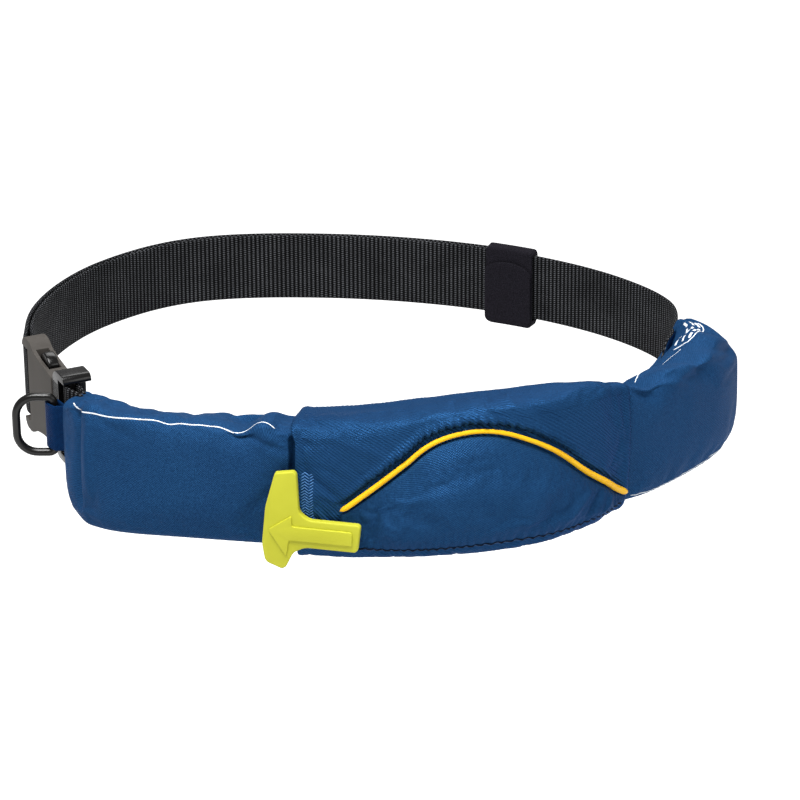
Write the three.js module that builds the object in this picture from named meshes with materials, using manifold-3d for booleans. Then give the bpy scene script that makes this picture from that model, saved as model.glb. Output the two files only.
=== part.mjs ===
// Inflatable belt pack: a padded cloth pouch with a centre sleeve, a front pocket and a pull handle,
// closed into a loop by webbing and a side-release buckle. Millimetres, +Z up.
// The origin is the middle of the waist loop at the webbing's mid-height, and -Y is the front.
import * as THREE from 'three';
import { mergeVertices } from 'three/addons/utils/BufferGeometryUtils.js';
import Module from 'manifold-3d';

const wasm = await Module();
wasm.setup();

// Waist loop
const waistHalfWidth = 187;
const waistHalfDepth = 147;

// Webbing
const webbingWidth = 38;
const webbingThickness = 2;
const webbingLean = -0.8; // how far the upper edge leans outwards
const layerGap = 0.4; // between two pieces that lie on each other
const webbingStep = 9;
const leanRiseFrom = 18; // past the pouch's right end, where the lean sets in
const leanRiseTo = 75;
const leanFallFrom = 120; // before the pouch's left end, where it goes again
const leanFallTo = 75;
const layersPart = 26; // over which the belt's two layers part to pass the buckle's bar
const tailPastKeeper = 9.5;

// Pouch
const pouchLength = 366; // along the waist line, from mouth to mouth
const pouchBack = 6; // from the waist line in to the body side
const pouchFront = 35; // from the waist line out to the front face
const pouchTop = 31;
const pouchBottom = 36.5;
const mouthDepth = 24;
const mouthClearance = 0.8;
const mouthSteps = 4;
const sewnGap = 2; // between a strap's sewn end and the bottom of its mouth

// Centre sleeve and pocket, measured along the waist line from the pouch's left end
const sleeveStart = 121;
const sleeveLength = 148;
const sleeveWall = 1.8;
const sleeveClearance = 0.6;
const pocketBulge = 9;
const pocketWall = 1.6;
const pocketRows = 8;
const pocketSeam = -30; // the pocket's lower seam
const archHeight = 59; // from the lower seam up to the top of the arch
const pipingDiameter = 3.4;
const pipingGap = 0.6; // between the pocket's upper edge and the piping
const seatGap = 0.35; // between a piece and what it is sewn or laid on

// Keeper on the webbing
const keeperWidth = 28; // along the webbing
const keeperThickness = 1.6;
const keeperSlackAbove = 0.6;
const keeperSlackBelow = 4.4;
const keeperFromPouch = 136; // its near edge, along the waist line from the pouch's right end
const flapHeight = 37; // from the keeper's underside
const flapShoulder = 7; // how far the flap's rounded end drops at its sides
const flapRound = 0.98; // the share of the half width that the rounded end takes

// Buckle
const buckleFromPouch = 3.5;
const strapRunIn = 6; // inside the pouch, where the strap's two layers have come together
const buckleWidth = 45;
const buckleThickness = 11;
const buckleBevel = 1.4;
const socketLength = 43;
const plugBaseLength = 16.5;
const plugBaseDepth = 5; // how much further the base stands out on the body side
const barDiameter = 3.6;
const barGap = 0.35; // between a bar and the webbing round it
const cavityThickness = 6.6;
const cavityHeight = 32;
const cavityDepth = 31;
const buckleClearance = 0.5;
const armHeight = 5; // each side arm's size across the buckle
const padRise = 3.4; // the arms' thumb pads, out from the arms
const padShare = 0.6; // the pad's full part, as a share of the window's length
const tongueGap = 6; // between the middle tongue and the cavity's bottom
const armGap = 2; // between an arm's end and the window's far end
const rimWidth = 2; // the plug base's walls beside the strap
const plugThinner = 1; // how much less than the socket the plug's base stands out on the front
const slotPlay = 2; // how much taller a slot is than the webbing
const weld = 1; // how far joined shapes run into each other, and cuts run past a face
const windowStart = 8; // from the socket's mouth
const windowLength = 19;

// Ring and its tab
const ringHeight = 34.4;
const ringReach = 23.4;
const ringWire = 4.2;
const ringCorner = 3.4;
const ringArm = 9; // straight part of the ring's arms
const tabWidth = 24.6;
const tabWall = 1.2;
const tabClearance = 0.4; // round the ring's bar
const tabSlack = 1.6; // the loop's free play past the bar
const tabDepth = 20; // how far the tab reaches into the pouch
const tabStraight = 0.5; // how far the tab runs straight out of the mouth
const tabBelly = 0.86; // how full the tab is half way to the bar, as a share of its turn
const ringStandOff = 9.4; // from the waist line out to the ring's bar
const ringFromPouch = 6.6; // from the pouch's left end back along the waist line to the ring's bar

// Pull handle
const handleLength = 49;
const handleHeight = 52.5;
const handleThickness = 3.6;
const handleBevel = 0.9;
const handleRibRise = 1; // the arrow and stem rib above the plate
const handleAlong = 115; // the cross-bar's axis, along the waist line
const handleReach = 41; // from the cross-bar's axis to the stem's end, along the waist line
const handleBarOut = 42.4; // the cross-bar's back, out from the waist line
const handleStemOut = 48.2; // the stem's end
const handleHeightAt = -14; // the stem's upper edge
const patchSize = 10;
const patchShift = 2.5; // from the cross-bar's axis towards the pouch's end
const patchDrop = 8.4; // from the stem's upper edge down to the patch's middle

const cloth = new THREE.MeshStandardMaterial({ color: 0x1c4a80, roughness: 0.62, metalness: 0 });
const sleeveCloth = new THREE.MeshStandardMaterial({ color: 0x1d4379, roughness: 0.5, metalness: 0 });
const trim = new THREE.MeshStandardMaterial({ color: 0xf9bb1a, roughness: 0.5, metalness: 0 });
const handlePlastic = new THREE.MeshStandardMaterial({ color: 0xdde03a, roughness: 0.42, metalness: 0 });
const webbing = new THREE.MeshStandardMaterial({ color: 0x121312, roughness: 0.75, metalness: 0 });
const felt = new THREE.MeshStandardMaterial({ color: 0x17161a, roughness: 0.95, metalness: 0 });
const blackPlastic = new THREE.MeshStandardMaterial({ color: 0x2b2a29, roughness: 0.4, metalness: 0 });

const pack = new THREE.Group();

// The waist line, anticlockwise from the pouch's left end, as shares of the loop's half sizes.
const waistTable = [
  { across: -0.818, back: -0.503 },
  { across: -0.684, back: -0.605 },
  { across: -0.481, back: -0.653 },
  { across: -0.214, back: -0.704 },
  { across: 0.053, back: -0.728 },
  { across: 0.294, back: -0.680 },
  { across: 0.481, back: -0.517 },
  { across: 0.631, back: -0.313 },
  { across: 0.749, back: -0.109 },
  { across: 0.809, back: 0.102 },
  { across: 0.812, back: 0.330 },
  { across: 0.660, back: 0.595 },
  { across: 0.321, back: 0.860 },
  { across: -0.160, back: 0.996 },
  { across: -0.588, back: 0.948 },
  { across: -0.836, back: 0.700 },
  { across: -0.970, back: 0.306 },
  { across: -0.973, back: -0.068 },
];
const waist = new THREE.CatmullRomCurve3(
  waistTable.map((row) => new THREE.Vector3(row.across * waistHalfWidth, row.back * waistHalfDepth, 0)),
  true,
  'centripetal',
);
waist.arcLengthDivisions = 1200;
const waistLength = waist.getLength();

// The point on the waist line at a distance along it, with the directions along it and outwards.
function waistFrame(along) {
  const share = (((along / waistLength) % 1) + 1) % 1;
  const point = waist.getPointAt(share);
  const forward = waist.getTangentAt(share);
  return { point, forward, out: new THREE.Vector3(forward.y, -forward.x, 0) };
}

function onWaist(along, out, up) {
  const frame = waistFrame(along);
  return frame.point.clone().addScaledVector(frame.out, out).add(new THREE.Vector3(0, 0, up));
}

function smoothStep(low, high, value) {
  const share = THREE.MathUtils.clamp((value - low) / (high - low), 0, 1);
  return share * share * (3 - 2 * share);
}

// Reads one column of a table at a place between its rows, along a smooth curve through them.
function columnAt(table, key, column, value) {
  const last = table.length - 1;
  if (value <= table[0][key]) return table[0][column];
  if (value >= table[last][key]) return table[last][column];
  const i = table.findIndex((row) => row[key] > value) - 1;
  const slopeAt = (k) => {
    const low = table[Math.max(k - 1, 0)];
    const high = table[Math.min(k + 1, last)];
    return (high[column] - low[column]) / (high[key] - low[key]);
  };
  const step = table[i + 1][key] - table[i][key];
  const t = (value - table[i][key]) / step;
  const rise = t * t * (3 - 2 * t);
  return table[i][column] * (1 - rise) + table[i + 1][column] * rise
    + step * (slopeAt(i) * t * (1 - t) * (1 - t) - slopeAt(i + 1) * t * t * (1 - t));
}

function spread(low, high, count) {
  return Array.from({ length: count + 1 }, (_, i) => low + ((high - low) * i) / count);
}

// A closed body from a run of rings with the same number of points, capped or joined at its ends.
function loft(rings, joined = false) {
  const size = rings[0].length;
  const positions = rings.flat().flatMap((p) => [p.x, p.y, p.z]);
  const faces = [];
  const spans = joined ? rings.length : rings.length - 1;
  for (let i = 0; i < spans; i += 1) {
    const next = (i + 1) % rings.length;
    for (let k = 0; k < size; k += 1) {
      const a = i * size + k;
      const b = i * size + ((k + 1) % size);
      const c = next * size + ((k + 1) % size);
      const d = next * size + k;
      faces.push(a, b, c, a, c, d);
    }
  }
  if (!joined) {
    const caps = [
      { ring: rings[0], start: 0, flip: true },
      { ring: rings[rings.length - 1], start: (rings.length - 1) * size, flip: false },
    ];
    for (const { ring, start, flip } of caps) {
      for (const [a, b, c] of capFaces(ring)) {
        faces.push(start + a, start + (flip ? c : b), start + (flip ? b : c));
      }
    }
  }
  const geometry = new THREE.BufferGeometry();
  geometry.setAttribute('position', new THREE.Float32BufferAttribute(positions, 3));
  geometry.setIndex(faces);
  return turnedOut(geometry);
}

// Triangles across a flat ring, in the ring's own order.
function capFaces(ring) {
  const origin = ring[0];
  const acrossRing = ring[Math.floor(ring.length / 2)].clone().sub(origin).normalize();
  const normal = new THREE.Vector3();
  ring.forEach((p, i) => {
    const q = ring[(i + 1) % ring.length];
    normal.add(p.clone().sub(origin).cross(q.clone().sub(origin)));
  });
  normal.normalize();
  const side = normal.clone().cross(acrossRing);
  const flat = ring.map((p) => {
    const d = p.clone().sub(origin);
    return new THREE.Vector2(d.dot(acrossRing), d.dot(side));
  });
  return THREE.ShapeUtils.triangulateShape(flat, []);
}

function signedVolume(geometry) {
  const position = geometry.attributes.position;
  const index = geometry.index.array;
  const [a, b, c] = [new THREE.Vector3(), new THREE.Vector3(), new THREE.Vector3()];
  let total = 0;
  for (let i = 0; i < index.length; i += 3) {
    a.fromBufferAttribute(position, index[i]);
    b.fromBufferAttribute(position, index[i + 1]);
    c.fromBufferAttribute(position, index[i + 2]);
    total += a.dot(b.cross(c)) / 6;
  }
  return total;
}

function turnedOut(geometry) {
  if (signedVolume(geometry) < 0) {
    const index = geometry.index.array;
    for (let i = 0; i < index.length; i += 3) {
      [index[i + 1], index[i + 2]] = [index[i + 2], index[i + 1]];
    }
  }
  geometry.computeVertexNormals();
  return geometry;
}

function toSolid(geometry) {
  const bare = geometry.clone();
  for (const name of Object.keys(bare.attributes)) {
    if (name !== 'position') bare.deleteAttribute(name);
  }
  const merged = mergeVertices(bare, 1e-4);
  return new wasm.Manifold(new wasm.Mesh({
    numProp: 3,
    vertProperties: new Float32Array(merged.attributes.position.array),
    triVerts: new Uint32Array(merged.index.array),
  }));
}

function toGeometry(solid) {
  const mesh = solid.getMesh();
  const geometry = new THREE.BufferGeometry();
  geometry.setAttribute('position', new THREE.BufferAttribute(mesh.vertProperties, 3));
  geometry.setIndex(new THREE.BufferAttribute(mesh.triVerts, 1));
  geometry.computeVertexNormals();
  return geometry;
}

function addPiece(name, geometry, material, parent = pack) {
  const mesh = new THREE.Mesh(geometry, material);
  mesh.name = name;
  parent.add(mesh);
  return mesh;
}

// Pouch

// One cross-section round the pouch, as shares: out from the back to the front, and up from the
// middle to the top or down to the bottom.
const pouchProfile = [
  { out: 0.00, up: 0.02 },
  { out: 0.00, up: 0.62 },
  { out: 0.07, up: 0.86 },
  { out: 0.40, up: 0.95 },
  { out: 0.78, up: 1.00 },
  { out: 0.94, up: 0.94 },
  { out: 0.99, up: 0.70 },
  { out: 1.02, up: 0.08 },
  { out: 1.00, up: -0.62 },
  { out: 0.92, up: -0.90 },
  { out: 0.74, up: -1.00 },
  { out: 0.34, up: -0.97 },
  { out: 0.06, up: -0.84 },
  { out: 0.00, up: -0.56 },
];
const profileCurve = new THREE.CatmullRomCurve3(
  pouchProfile.map((row) => new THREE.Vector3(row.out, row.up, 0)),
  true,
  'centripetal',
);

// The way round a slot inside a mouth; its steps add up to a profile's points, so that the pouch's
// wall can turn in to it.
const slotSides = [
  { out: 0, up: 0, nextOut: 0, nextUp: 1, steps: 3 },
  { out: 0, up: 1, nextOut: 1, nextUp: 1, steps: 8 },
  { out: 1, up: 1, nextOut: 1, nextUp: -1, steps: 6 },
  { out: 1, up: -1, nextOut: 0, nextUp: -1, steps: 8 },
  { out: 0, up: -1, nextOut: 0, nextUp: 0, steps: 3 },
];
const profilePoints = slotSides.reduce((sum, side) => sum + side.steps, 0);
const unitProfile = spread(0, 1, profilePoints).slice(0, -1).map((share) => profileCurve.getPoint(share));

// How the pouch swells along its length, as shares of its length and of its named sizes.
// The slump is how much lower the top is at the back than at the front.
const pouchSections = [
  { at: 0.000, front: 0.31, back: 1.00, top: 0.85, bottom: 0.70, slump: 0.00 },
  { at: 0.018, front: 0.48, back: 1.00, top: 0.90, bottom: 0.88, slump: 0.10 },
  { at: 0.057, front: 0.82, back: 1.00, top: 0.96, bottom: 1.03, slump: 0.26 },
  { at: 0.137, front: 0.97, back: 1.00, top: 0.97, bottom: 1.02, slump: 0.38 },
  { at: 0.250, front: 1.00, back: 1.00, top: 0.96, bottom: 1.01, slump: 0.34 },
  { at: 0.327, front: 1.07, back: 1.00, top: 0.96, bottom: 0.98, slump: 0.26 },
  { at: 0.390, front: 1.12, back: 1.00, top: 1.05, bottom: 0.98, slump: 0.20 },
  { at: 0.550, front: 1.05, back: 1.00, top: 1.28, bottom: 0.98, slump: 0.18 },
  { at: 0.680, front: 0.93, back: 1.00, top: 1.17, bottom: 1.01, slump: 0.24 },
  { at: 0.727, front: 0.84, back: 1.00, top: 1.00, bottom: 1.01, slump: 0.38 },
  { at: 0.790, front: 0.94, back: 1.00, top: 0.96, bottom: 1.05, slump: 0.62 },
  { at: 0.875, front: 1.01, back: 1.00, top: 0.96, bottom: 1.05, slump: 0.44 },
  { at: 0.940, front: 1.04, back: 1.00, top: 0.80, bottom: 1.05, slump: -0.22 },
  { at: 0.975, front: 1.01, back: 1.00, top: 0.64, bottom: 1.00, slump: -0.62 },
  { at: 0.989, front: 0.77, back: 1.00, top: 0.64, bottom: 0.86, slump: -0.56 },
  { at: 1.000, front: 0.36, back: 0.90, top: 0.72, bottom: 0.72, slump: -0.24 },
];

// The main folds: where, how far they reach along and up, and how deep, as shares of the pouch's length,
// its height and its thickness. Below zero is a dent.
const pouchFolds = [
  { at: 0.030, up: 0.30, reach: 0.014, rise: 0.70, depth: -0.05 },
  { at: 0.075, up: 0.95, reach: 0.020, rise: 0.20, depth: 0.03 },
  { at: 0.256, up: 1.00, reach: 0.016, rise: 0.24, depth: -0.10 },
  { at: 0.291, up: 0.98, reach: 0.014, rise: 0.30, depth: 0.06 },
  { at: 0.775, up: 0.95, reach: 0.018, rise: 0.34, depth: -0.09 },
  { at: 0.820, up: 0.90, reach: 0.024, rise: 0.30, depth: 0.05 },
  { at: 0.880, up: 0.80, reach: 0.020, rise: 0.35, depth: -0.06 },
  { at: 0.930, up: 0.95, reach: 0.018, rise: 0.22, depth: 0.04 },
  { at: 0.962, up: 0.30, reach: 0.014, rise: 0.60, depth: -0.04 },
];

const pouchThickness = pouchBack + pouchFront;
const foldedFrom = 0.3; // the body side behind this share of the thickness has no folds
const turnsFlat = 0.88; // past this share of the height the cloth faces up or down

function pouchSize(along, grow = 0) {
  const at = along / pouchLength;
  const size = (column) => columnAt(pouchSections, 'at', column, at);
  return {
    front: size('front') * pouchFront + grow,
    back: -size('back') * pouchBack - grow,
    top: size('top') * pouchTop + grow,
    bottom: size('bottom') * pouchBottom + grow,
    slump: size('slump'),
  };
}

function foldDepth(along, up, folds) {
  return folds.reduce((sum, fold) => {
    const a = (along / pouchLength - fold.at) / fold.reach;
    const b = (up - fold.up) / fold.rise;
    return sum + fold.depth * pouchThickness * Math.exp(-a * a - b * b);
  }, 0);
}

// The cross-section at one place along the pouch, as outward and upward distances.
function pouchOutline(along, grow = 0, folds = []) {
  const size = pouchSize(along, grow);
  return unitProfile.map((share) => {
    const swell = share.x > foldedFrom ? foldDepth(along, share.y, folds) : 0;
    const out = THREE.MathUtils.lerp(size.back, size.front, share.x);
    const up = share.y * (share.y > 0 ? size.top * (1 - size.slump * (1 - share.x)) : size.bottom);
    const facesUp = Math.abs(share.y) > turnsFlat;
    const lift = facesUp ? swell * Math.sign(share.y) : 0;
    const push = facesUp ? 0 : swell;
    return { out: out + push, up: up + lift };
  });
}

function ringAt(along, outline) {
  return outline.map((p) => onWaist(along, p.out, p.up));
}

function slotOutline(slot, halfHeight) {
  return slotSides.flatMap((side) => spread(0, 1, side.steps).slice(0, -1).map((share) => ({
    out: THREE.MathUtils.lerp(slot.from, slot.to, THREE.MathUtils.lerp(side.out, side.nextOut, share)),
    up: halfHeight * THREE.MathUtils.lerp(side.up, side.nextUp, share),
  })));
}

// The left mouth holds the doubled strap, with the doubled tab on its outer side.
const wrapRadius = barDiameter / 2 + barGap + webbingThickness / 2;
const tabHalf = tabWall + layerGap / 2;
const tabMiddle = ringStandOff - ringWire / 2;

// How far each of the strap's two layers lies from its middle, before and inside the mouth.
function strapLayer(along) {
  const pitch = (webbingThickness + layerGap) / 2;
  return THREE.MathUtils.lerp(wrapRadius, pitch, smoothStep(-buckleFromPouch, strapRunIn, along));
}

const leftSlot = {
  from: -(strapLayer(0) + webbingThickness / 2 + mouthClearance),
  to: tabMiddle + tabHalf + mouthClearance / 2,
};
const rightSlot = {
  from: -(webbingThickness / 2 + mouthClearance),
  to: webbingThickness / 2 + mouthClearance,
};
const slotHalfHeight = webbingWidth / 2 + mouthClearance;
const leftMouth = slotOutline(leftSlot, slotHalfHeight);
const rightMouth = slotOutline(rightSlot, slotHalfHeight);

function pouchRings() {
  const stations = [
    ...spread(0, 0.12, 8),
    ...spread(0.12, 0.88, 34).slice(1),
    ...spread(0.88, 1, 10).slice(1),
  ].map((share) => share * pouchLength);
  const depths = spread(0, mouthDepth, mouthSteps);
  return [
    ...depths.map((depth) => ringAt(mouthDepth - depth, leftMouth)),
    ...stations.map((along) => ringAt(along, pouchOutline(along, 0, pouchFolds))),
    ...depths.map((depth) => ringAt(pouchLength - depth, rightMouth)),
  ];
}
addPiece('pouch', loft(pouchRings()), cloth);

// The arch's height and the pocket's bulge, as shares, along the sleeve from its left edge.
const archTable = [
  { at: 0.142, height: 0.31, bulge: 0.00 },
  { at: 0.203, height: 0.45, bulge: 0.06 },
  { at: 0.265, height: 0.60, bulge: 0.50 },
  { at: 0.325, height: 0.76, bulge: 0.85 },
  { at: 0.374, height: 0.88, bulge: 0.96 },
  { at: 0.419, height: 0.95, bulge: 1.00 },
  { at: 0.497, height: 1.00, bulge: 1.00 },
  { at: 0.569, height: 0.97, bulge: 0.94 },
  { at: 0.648, height: 0.82, bulge: 0.84 },
  { at: 0.709, height: 0.66, bulge: 0.74 },
  { at: 0.775, height: 0.46, bulge: 0.60 },
  { at: 0.880, height: 0.24, bulge: 0.34 },
  { at: 0.985, height: 0.02, bulge: 0.00 },
];
const archFrom = archTable[0].at;
const archTo = archTable[archTable.length - 1].at;

function archAt(share, column) {
  return columnAt(archTable, 'at', column, share);
}

// Centre sleeve: a cloth wall round the middle of the pouch, open at both ends.
const sleeveStations = [...spread(0, 1, 18), archFrom, archTo]
  .sort((a, b) => a - b)
  .map((share) => sleeveStart + share * sleeveLength);

// How far the sleeve stands off the pouch, in times its clearance: it gapes at its left edge.
const sleeveSections = [
  { at: 0.00, stand: 2.6 },
  { at: 0.12, stand: 1.2 },
  { at: 0.50, stand: 0.8 },
  { at: 0.90, stand: 0.4 },
  { at: 1.00, stand: 0.0 },
];

function sleeveShare(along) {
  return (along - sleeveStart) / sleeveLength;
}

function sleeveOutline(along, grow) {
  const stand = columnAt(sleeveSections, 'at', 'stand', sleeveShare(along)) * sleeveClearance;
  return pouchOutline(along, sleeveClearance + stand + grow);
}

const sleeveOutside = sleeveStations.map((along) => sleeveOutline(along, sleeveWall));
const sleeveInside = sleeveStations.map((along) => sleeveOutline(along, 0));
const sleeveRings = [
  ...sleeveOutside.map((outline, i) => ringAt(sleeveStations[i], outline)),
  ...sleeveInside.map((outline, i) => ringAt(sleeveStations[i], outline)).reverse(),
];
addPiece('centre_sleeve', loft(sleeveRings, true), sleeveCloth);

// How far out the sleeve's front stands at a height, on one of its stations.
function frontAt(outline, up) {
  let best = -Infinity;
  outline.forEach((p, i) => {
    const q = outline[(i + 1) % outline.length];
    const [low, high] = p.up < q.up ? [p, q] : [q, p];
    if (up < low.up || up > high.up || high.up === low.up) return;
    best = Math.max(best, THREE.MathUtils.lerp(low.out, high.out, (up - low.up) / (high.up - low.up)));
  });
  return best;
}

// Pocket and piping: the pocket fills the front below an arch, and the piping runs along the arch.
const bulgeLow = 0.8; // below one moves the bulge's fullest place down
const bulgeFull = 0.7; // below one makes it stand out evenly
const slopeStep = 0.01; // the share of the sleeve over which the arch's slope is read
const pocketRings = [];
const pipingPath = [];

function pocketTop(share) {
  return pocketSeam + archAt(share, 'height') * archHeight;
}

// How far out the sleeve stands over a height as tall as the piping.
function frontOver(outline, middle, height) {
  const heights = spread(middle - height / 2, middle + height / 2, 4);
  return Math.max(...heights.map((up) => frontAt(outline, up)));
}

sleeveStations.forEach((along, i) => {
  const share = sleeveShare(along);
  if (share < archFrom - 1e-6 || share > archTo + 1e-6) return;
  const outside = sleeveOutside[i];
  const top = pocketTop(share);
  const rowHeight = (top - pocketSeam) / pocketRows;
  const inner = spread(pocketSeam, top, pocketRows)
    .map((up) => ({ out: frontOver(outside, up, rowHeight) + seatGap, up }));
  const outer = inner.map((p, k) => {
    const round = Math.sin(Math.PI * (k / pocketRows) ** bulgeLow) ** bulgeFull;
    return { out: p.out + pocketWall + pocketBulge * archAt(share, 'bulge') * round, up: p.up };
  });
  pocketRings.push(ringAt(along, [...inner, ...outer.reverse()]));
  const archRise = pocketTop(share + slopeStep) - pocketTop(share - slopeStep);
  const slope = archRise / (2 * slopeStep * sleeveLength);
  const pipingUp = top + (pipingDiameter / 2 + pipingGap) * Math.hypot(1, slope);
  const pipingOut = frontOver(outside, pipingUp, pipingDiameter) + pipingDiameter / 2 + seatGap;
  pipingPath.push(onWaist(along, pipingOut, pipingUp));
});
addPiece('pocket', loft(pocketRings), sleeveCloth);

function roundTube(path, diameter, sides) {
  const turns = spread(0, 2 * Math.PI, sides).slice(0, -1);
  return loft(path.map((point, i) => {
    const before = path[Math.max(i - 1, 0)];
    const after = path[Math.min(i + 1, path.length - 1)];
    const forward = after.clone().sub(before).normalize();
    const flat = forward.clone().cross(new THREE.Vector3(0, 0, 1)).normalize();
    const upright = flat.clone().cross(forward);
    return turns.map((turn) => point.clone()
      .addScaledVector(flat, (Math.cos(turn) * diameter) / 2)
      .addScaledVector(upright, (Math.sin(turn) * diameter) / 2));
  }));
}
addPiece('piping', roundTube(pipingPath, pipingDiameter, 8), trim);

// Webbing

// Where the two halves of the buckle lie: on a straight line between two places on the waist line.
const webbingPitch = webbingThickness + layerGap;
const buckleLength = socketLength + buckleClearance + plugBaseLength;
const buckleFar = onWaist(-buckleFromPouch - buckleLength, webbingPitch / 2, 0);
const buckleNear = onWaist(-buckleFromPouch, 0, 0);
const buckleAlong = buckleNear.clone().sub(buckleFar).normalize();
const buckleOut = new THREE.Vector3(buckleAlong.y, -buckleAlong.x, 0);

function onBuckle(along) {
  return buckleFar.clone().addScaledVector(buckleAlong, along);
}

function leanAt(along) {
  const rise = smoothStep(pouchLength + leanRiseFrom, pouchLength + leanRiseTo, along);
  const fall = smoothStep(waistLength - leanFallFrom, waistLength - leanFallTo, along);
  return webbingLean * rise * (1 - fall);
}

// A flat band through plan points, on edge; each point says how far the upper edge leans outwards.
function band(path, width, thickness) {
  return loft(path.map((place, i) => {
    const before = path[Math.max(i - 1, 0)].point;
    const after = path[Math.min(i + 1, path.length - 1)].point;
    const forward = after.clone().sub(before).normalize();
    const side = new THREE.Vector3(forward.y, -forward.x, 0);
    const lean = place.lean ? place.lean : new THREE.Vector3();
    return [[-1, -1], [1, -1], [1, 1], [-1, 1]].map(([across, up]) => place.point.clone()
      .addScaledVector(side, (across * thickness) / 2)
      .addScaledVector(lean, up / 2)
      .add(new THREE.Vector3(0, 0, (up * width) / 2)));
  }));
}

function waistRun(from, to, step, outAt) {
  const count = Math.max(2, Math.round(Math.abs(to - from) / step));
  return spread(from, to, count).map((along) => ({
    point: onWaist(along, outAt(along), 0),
    lean: waistFrame(along).out.multiplyScalar(leanAt(along)),
  }));
}

// Half a turn round a bar standing on end, from the body side to the outer side.
function wrap(centre, towards, outwards, radius) {
  return spread(-Math.PI / 2, Math.PI / 2, 6).map((turn) => ({
    point: centre.clone()
      .addScaledVector(towards, Math.cos(turn) * radius)
      .addScaledVector(outwards, Math.sin(turn) * radius),
  }));
}

// The long webbing leaves the right mouth, goes round the back, turns round the socket's bar and comes
// back on its own outer side as far as the keeper.
const socketBar = barDiameter / 2;
const beltEnd = waistLength - buckleFromPouch - buckleLength;
const keeperStart = pouchLength + keeperFromPouch;
const tailEnd = keeperStart - tailPastKeeper;

function beltPart(along) {
  return smoothStep(beltEnd - layersPart, beltEnd, along);
}

function innerLayer(along) {
  return (webbingPitch / 2 - wrapRadius) * beltPart(along);
}

function outerLayer(along) {
  return THREE.MathUtils.lerp(webbingPitch, webbingPitch / 2 + wrapRadius, beltPart(along));
}

const beltPath = [
  ...waistRun(pouchLength - mouthDepth + sewnGap, beltEnd, webbingStep, innerLayer),
  ...wrap(onBuckle(socketBar), buckleAlong, buckleOut, wrapRadius),
  ...waistRun(beltEnd, tailEnd, webbingStep, outerLayer),
];
addPiece('belt_webbing', band(beltPath, webbingWidth, webbingThickness), webbing);

// The short strap, doubled round the plug's bar, is sewn inside the left mouth.
const plugBar = buckleLength - barDiameter / 2;
const strapEnd = mouthDepth - sewnGap;
const strapTurn = 1 - buckleFromPouch; // where the layers reach the bar
const strapPath = [
  ...waistRun(strapEnd, strapTurn, webbingStep / 2, (along) => -strapLayer(along)),
  ...wrap(onBuckle(plugBar), buckleAlong.clone().negate(), buckleOut, wrapRadius),
  ...waistRun(strapTurn, strapEnd, webbingStep / 2, strapLayer),
].map(({ point }) => ({ point }));
addPiece('buckle_strap', band(strapPath, webbingWidth, webbingThickness), webbing);

// Keeper: a sewn loop round both layers of webbing, with a rounded flap on the body side.

// A rounded box outline round the webbing's two layers.
function keeperOutline(grow) {
  const half = webbingThickness / 2 + layerGap + grow;
  const low = -half;
  const high = webbingPitch + half;
  const top = webbingWidth / 2 + keeperSlackAbove + grow;
  const bottom = webbingWidth / 2 + keeperSlackBelow + grow;
  const corner = layerGap / 2 + grow;
  const points = [];
  const corners = [
    { out: high - corner, up: top - corner, turn: 0 },
    { out: low + corner, up: top - corner, turn: 1 },
    { out: low + corner, up: -bottom + corner, turn: 2 },
    { out: high - corner, up: -bottom + corner, turn: 3 },
  ];
  for (const { out, up, turn } of corners) {
    for (const share of [0, 0.5, 1]) {
      const angle = ((turn + share) * Math.PI) / 2;
      points.push({ out: out + Math.cos(angle) * corner, up: up + Math.sin(angle) * corner });
    }
  }
  return points;
}

function beltRing(along, outline) {
  const lean = leanAt(along) / webbingWidth;
  return outline.map((p) => onWaist(along, p.out + lean * p.up, p.up));
}

const keeperStations = spread(keeperStart, keeperStart + keeperWidth, 4);
addPiece('keeper_loop', loft([
  ...keeperStations.map((along) => beltRing(along, keeperOutline(keeperThickness))),
  ...keeperStations.map((along) => beltRing(along, keeperOutline(0))).reverse(),
], true), felt);

const flapBack = -(webbingThickness / 2 + layerGap + keeperThickness + seatGap);
const flapLow = -webbingWidth / 2 - keeperSlackBelow;
addPiece('keeper_flap', loft(spread(0, 1, 8).map((share) => {
  const across = 2 * share - 1;
  const top = flapLow + flapHeight - flapShoulder * (1 - Math.sqrt(1 - (flapRound * across) ** 2));
  return beltRing(keeperStart + share * keeperWidth, [
    { out: flapBack, up: flapLow },
    { out: flapBack, up: top },
    { out: flapBack - keeperThickness, up: top },
    { out: flapBack - keeperThickness, up: flapLow },
  ]);
})), felt);

// Buckle, drawn lying flat: along from the socket's far end, up across it, and its thickness outwards.

const buckleBasis = new THREE.Matrix4()
  .makeBasis(buckleAlong, new THREE.Vector3(0, 0, 1), buckleOut)
  .setPosition(buckleFar);

// A plate from an outline of points, centred on the buckle's middle plane, with bevelled edges.
function plate(points, thickness, bevel) {
  const shape = new THREE.Shape(points.map(([x, y]) => new THREE.Vector2(x, y)));
  const geometry = new THREE.ExtrudeGeometry(shape, {
    depth: thickness - 2 * bevel,
    bevelEnabled: bevel > 0,
    bevelThickness: bevel,
    bevelSize: bevel,
    bevelOffset: -bevel,
    bevelSegments: 1,
  });
  geometry.translate(0, 0, bevel - thickness / 2);
  return toSolid(geometry);
}

function block(fromX, toX, fromY, toY, thickness) {
  const geometry = new THREE.BoxGeometry(toX - fromX, toY - fromY, thickness);
  geometry.translate((fromX + toX) / 2, (fromY + toY) / 2, 0);
  return toSolid(geometry);
}

function uprightBar(x, height) {
  const geometry = new THREE.CylinderGeometry(barDiameter / 2, barDiameter / 2, height, 12);
  geometry.translate(x, 0, 0);
  return toSolid(geometry);
}

function mirrored(points) {
  return [...points, ...points.map(([x, y]) => [x, -y]).reverse()];
}

const slotHeight = webbingWidth + slotPlay;
const slotLength = 2 * wrapRadius + webbingThickness;

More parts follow.
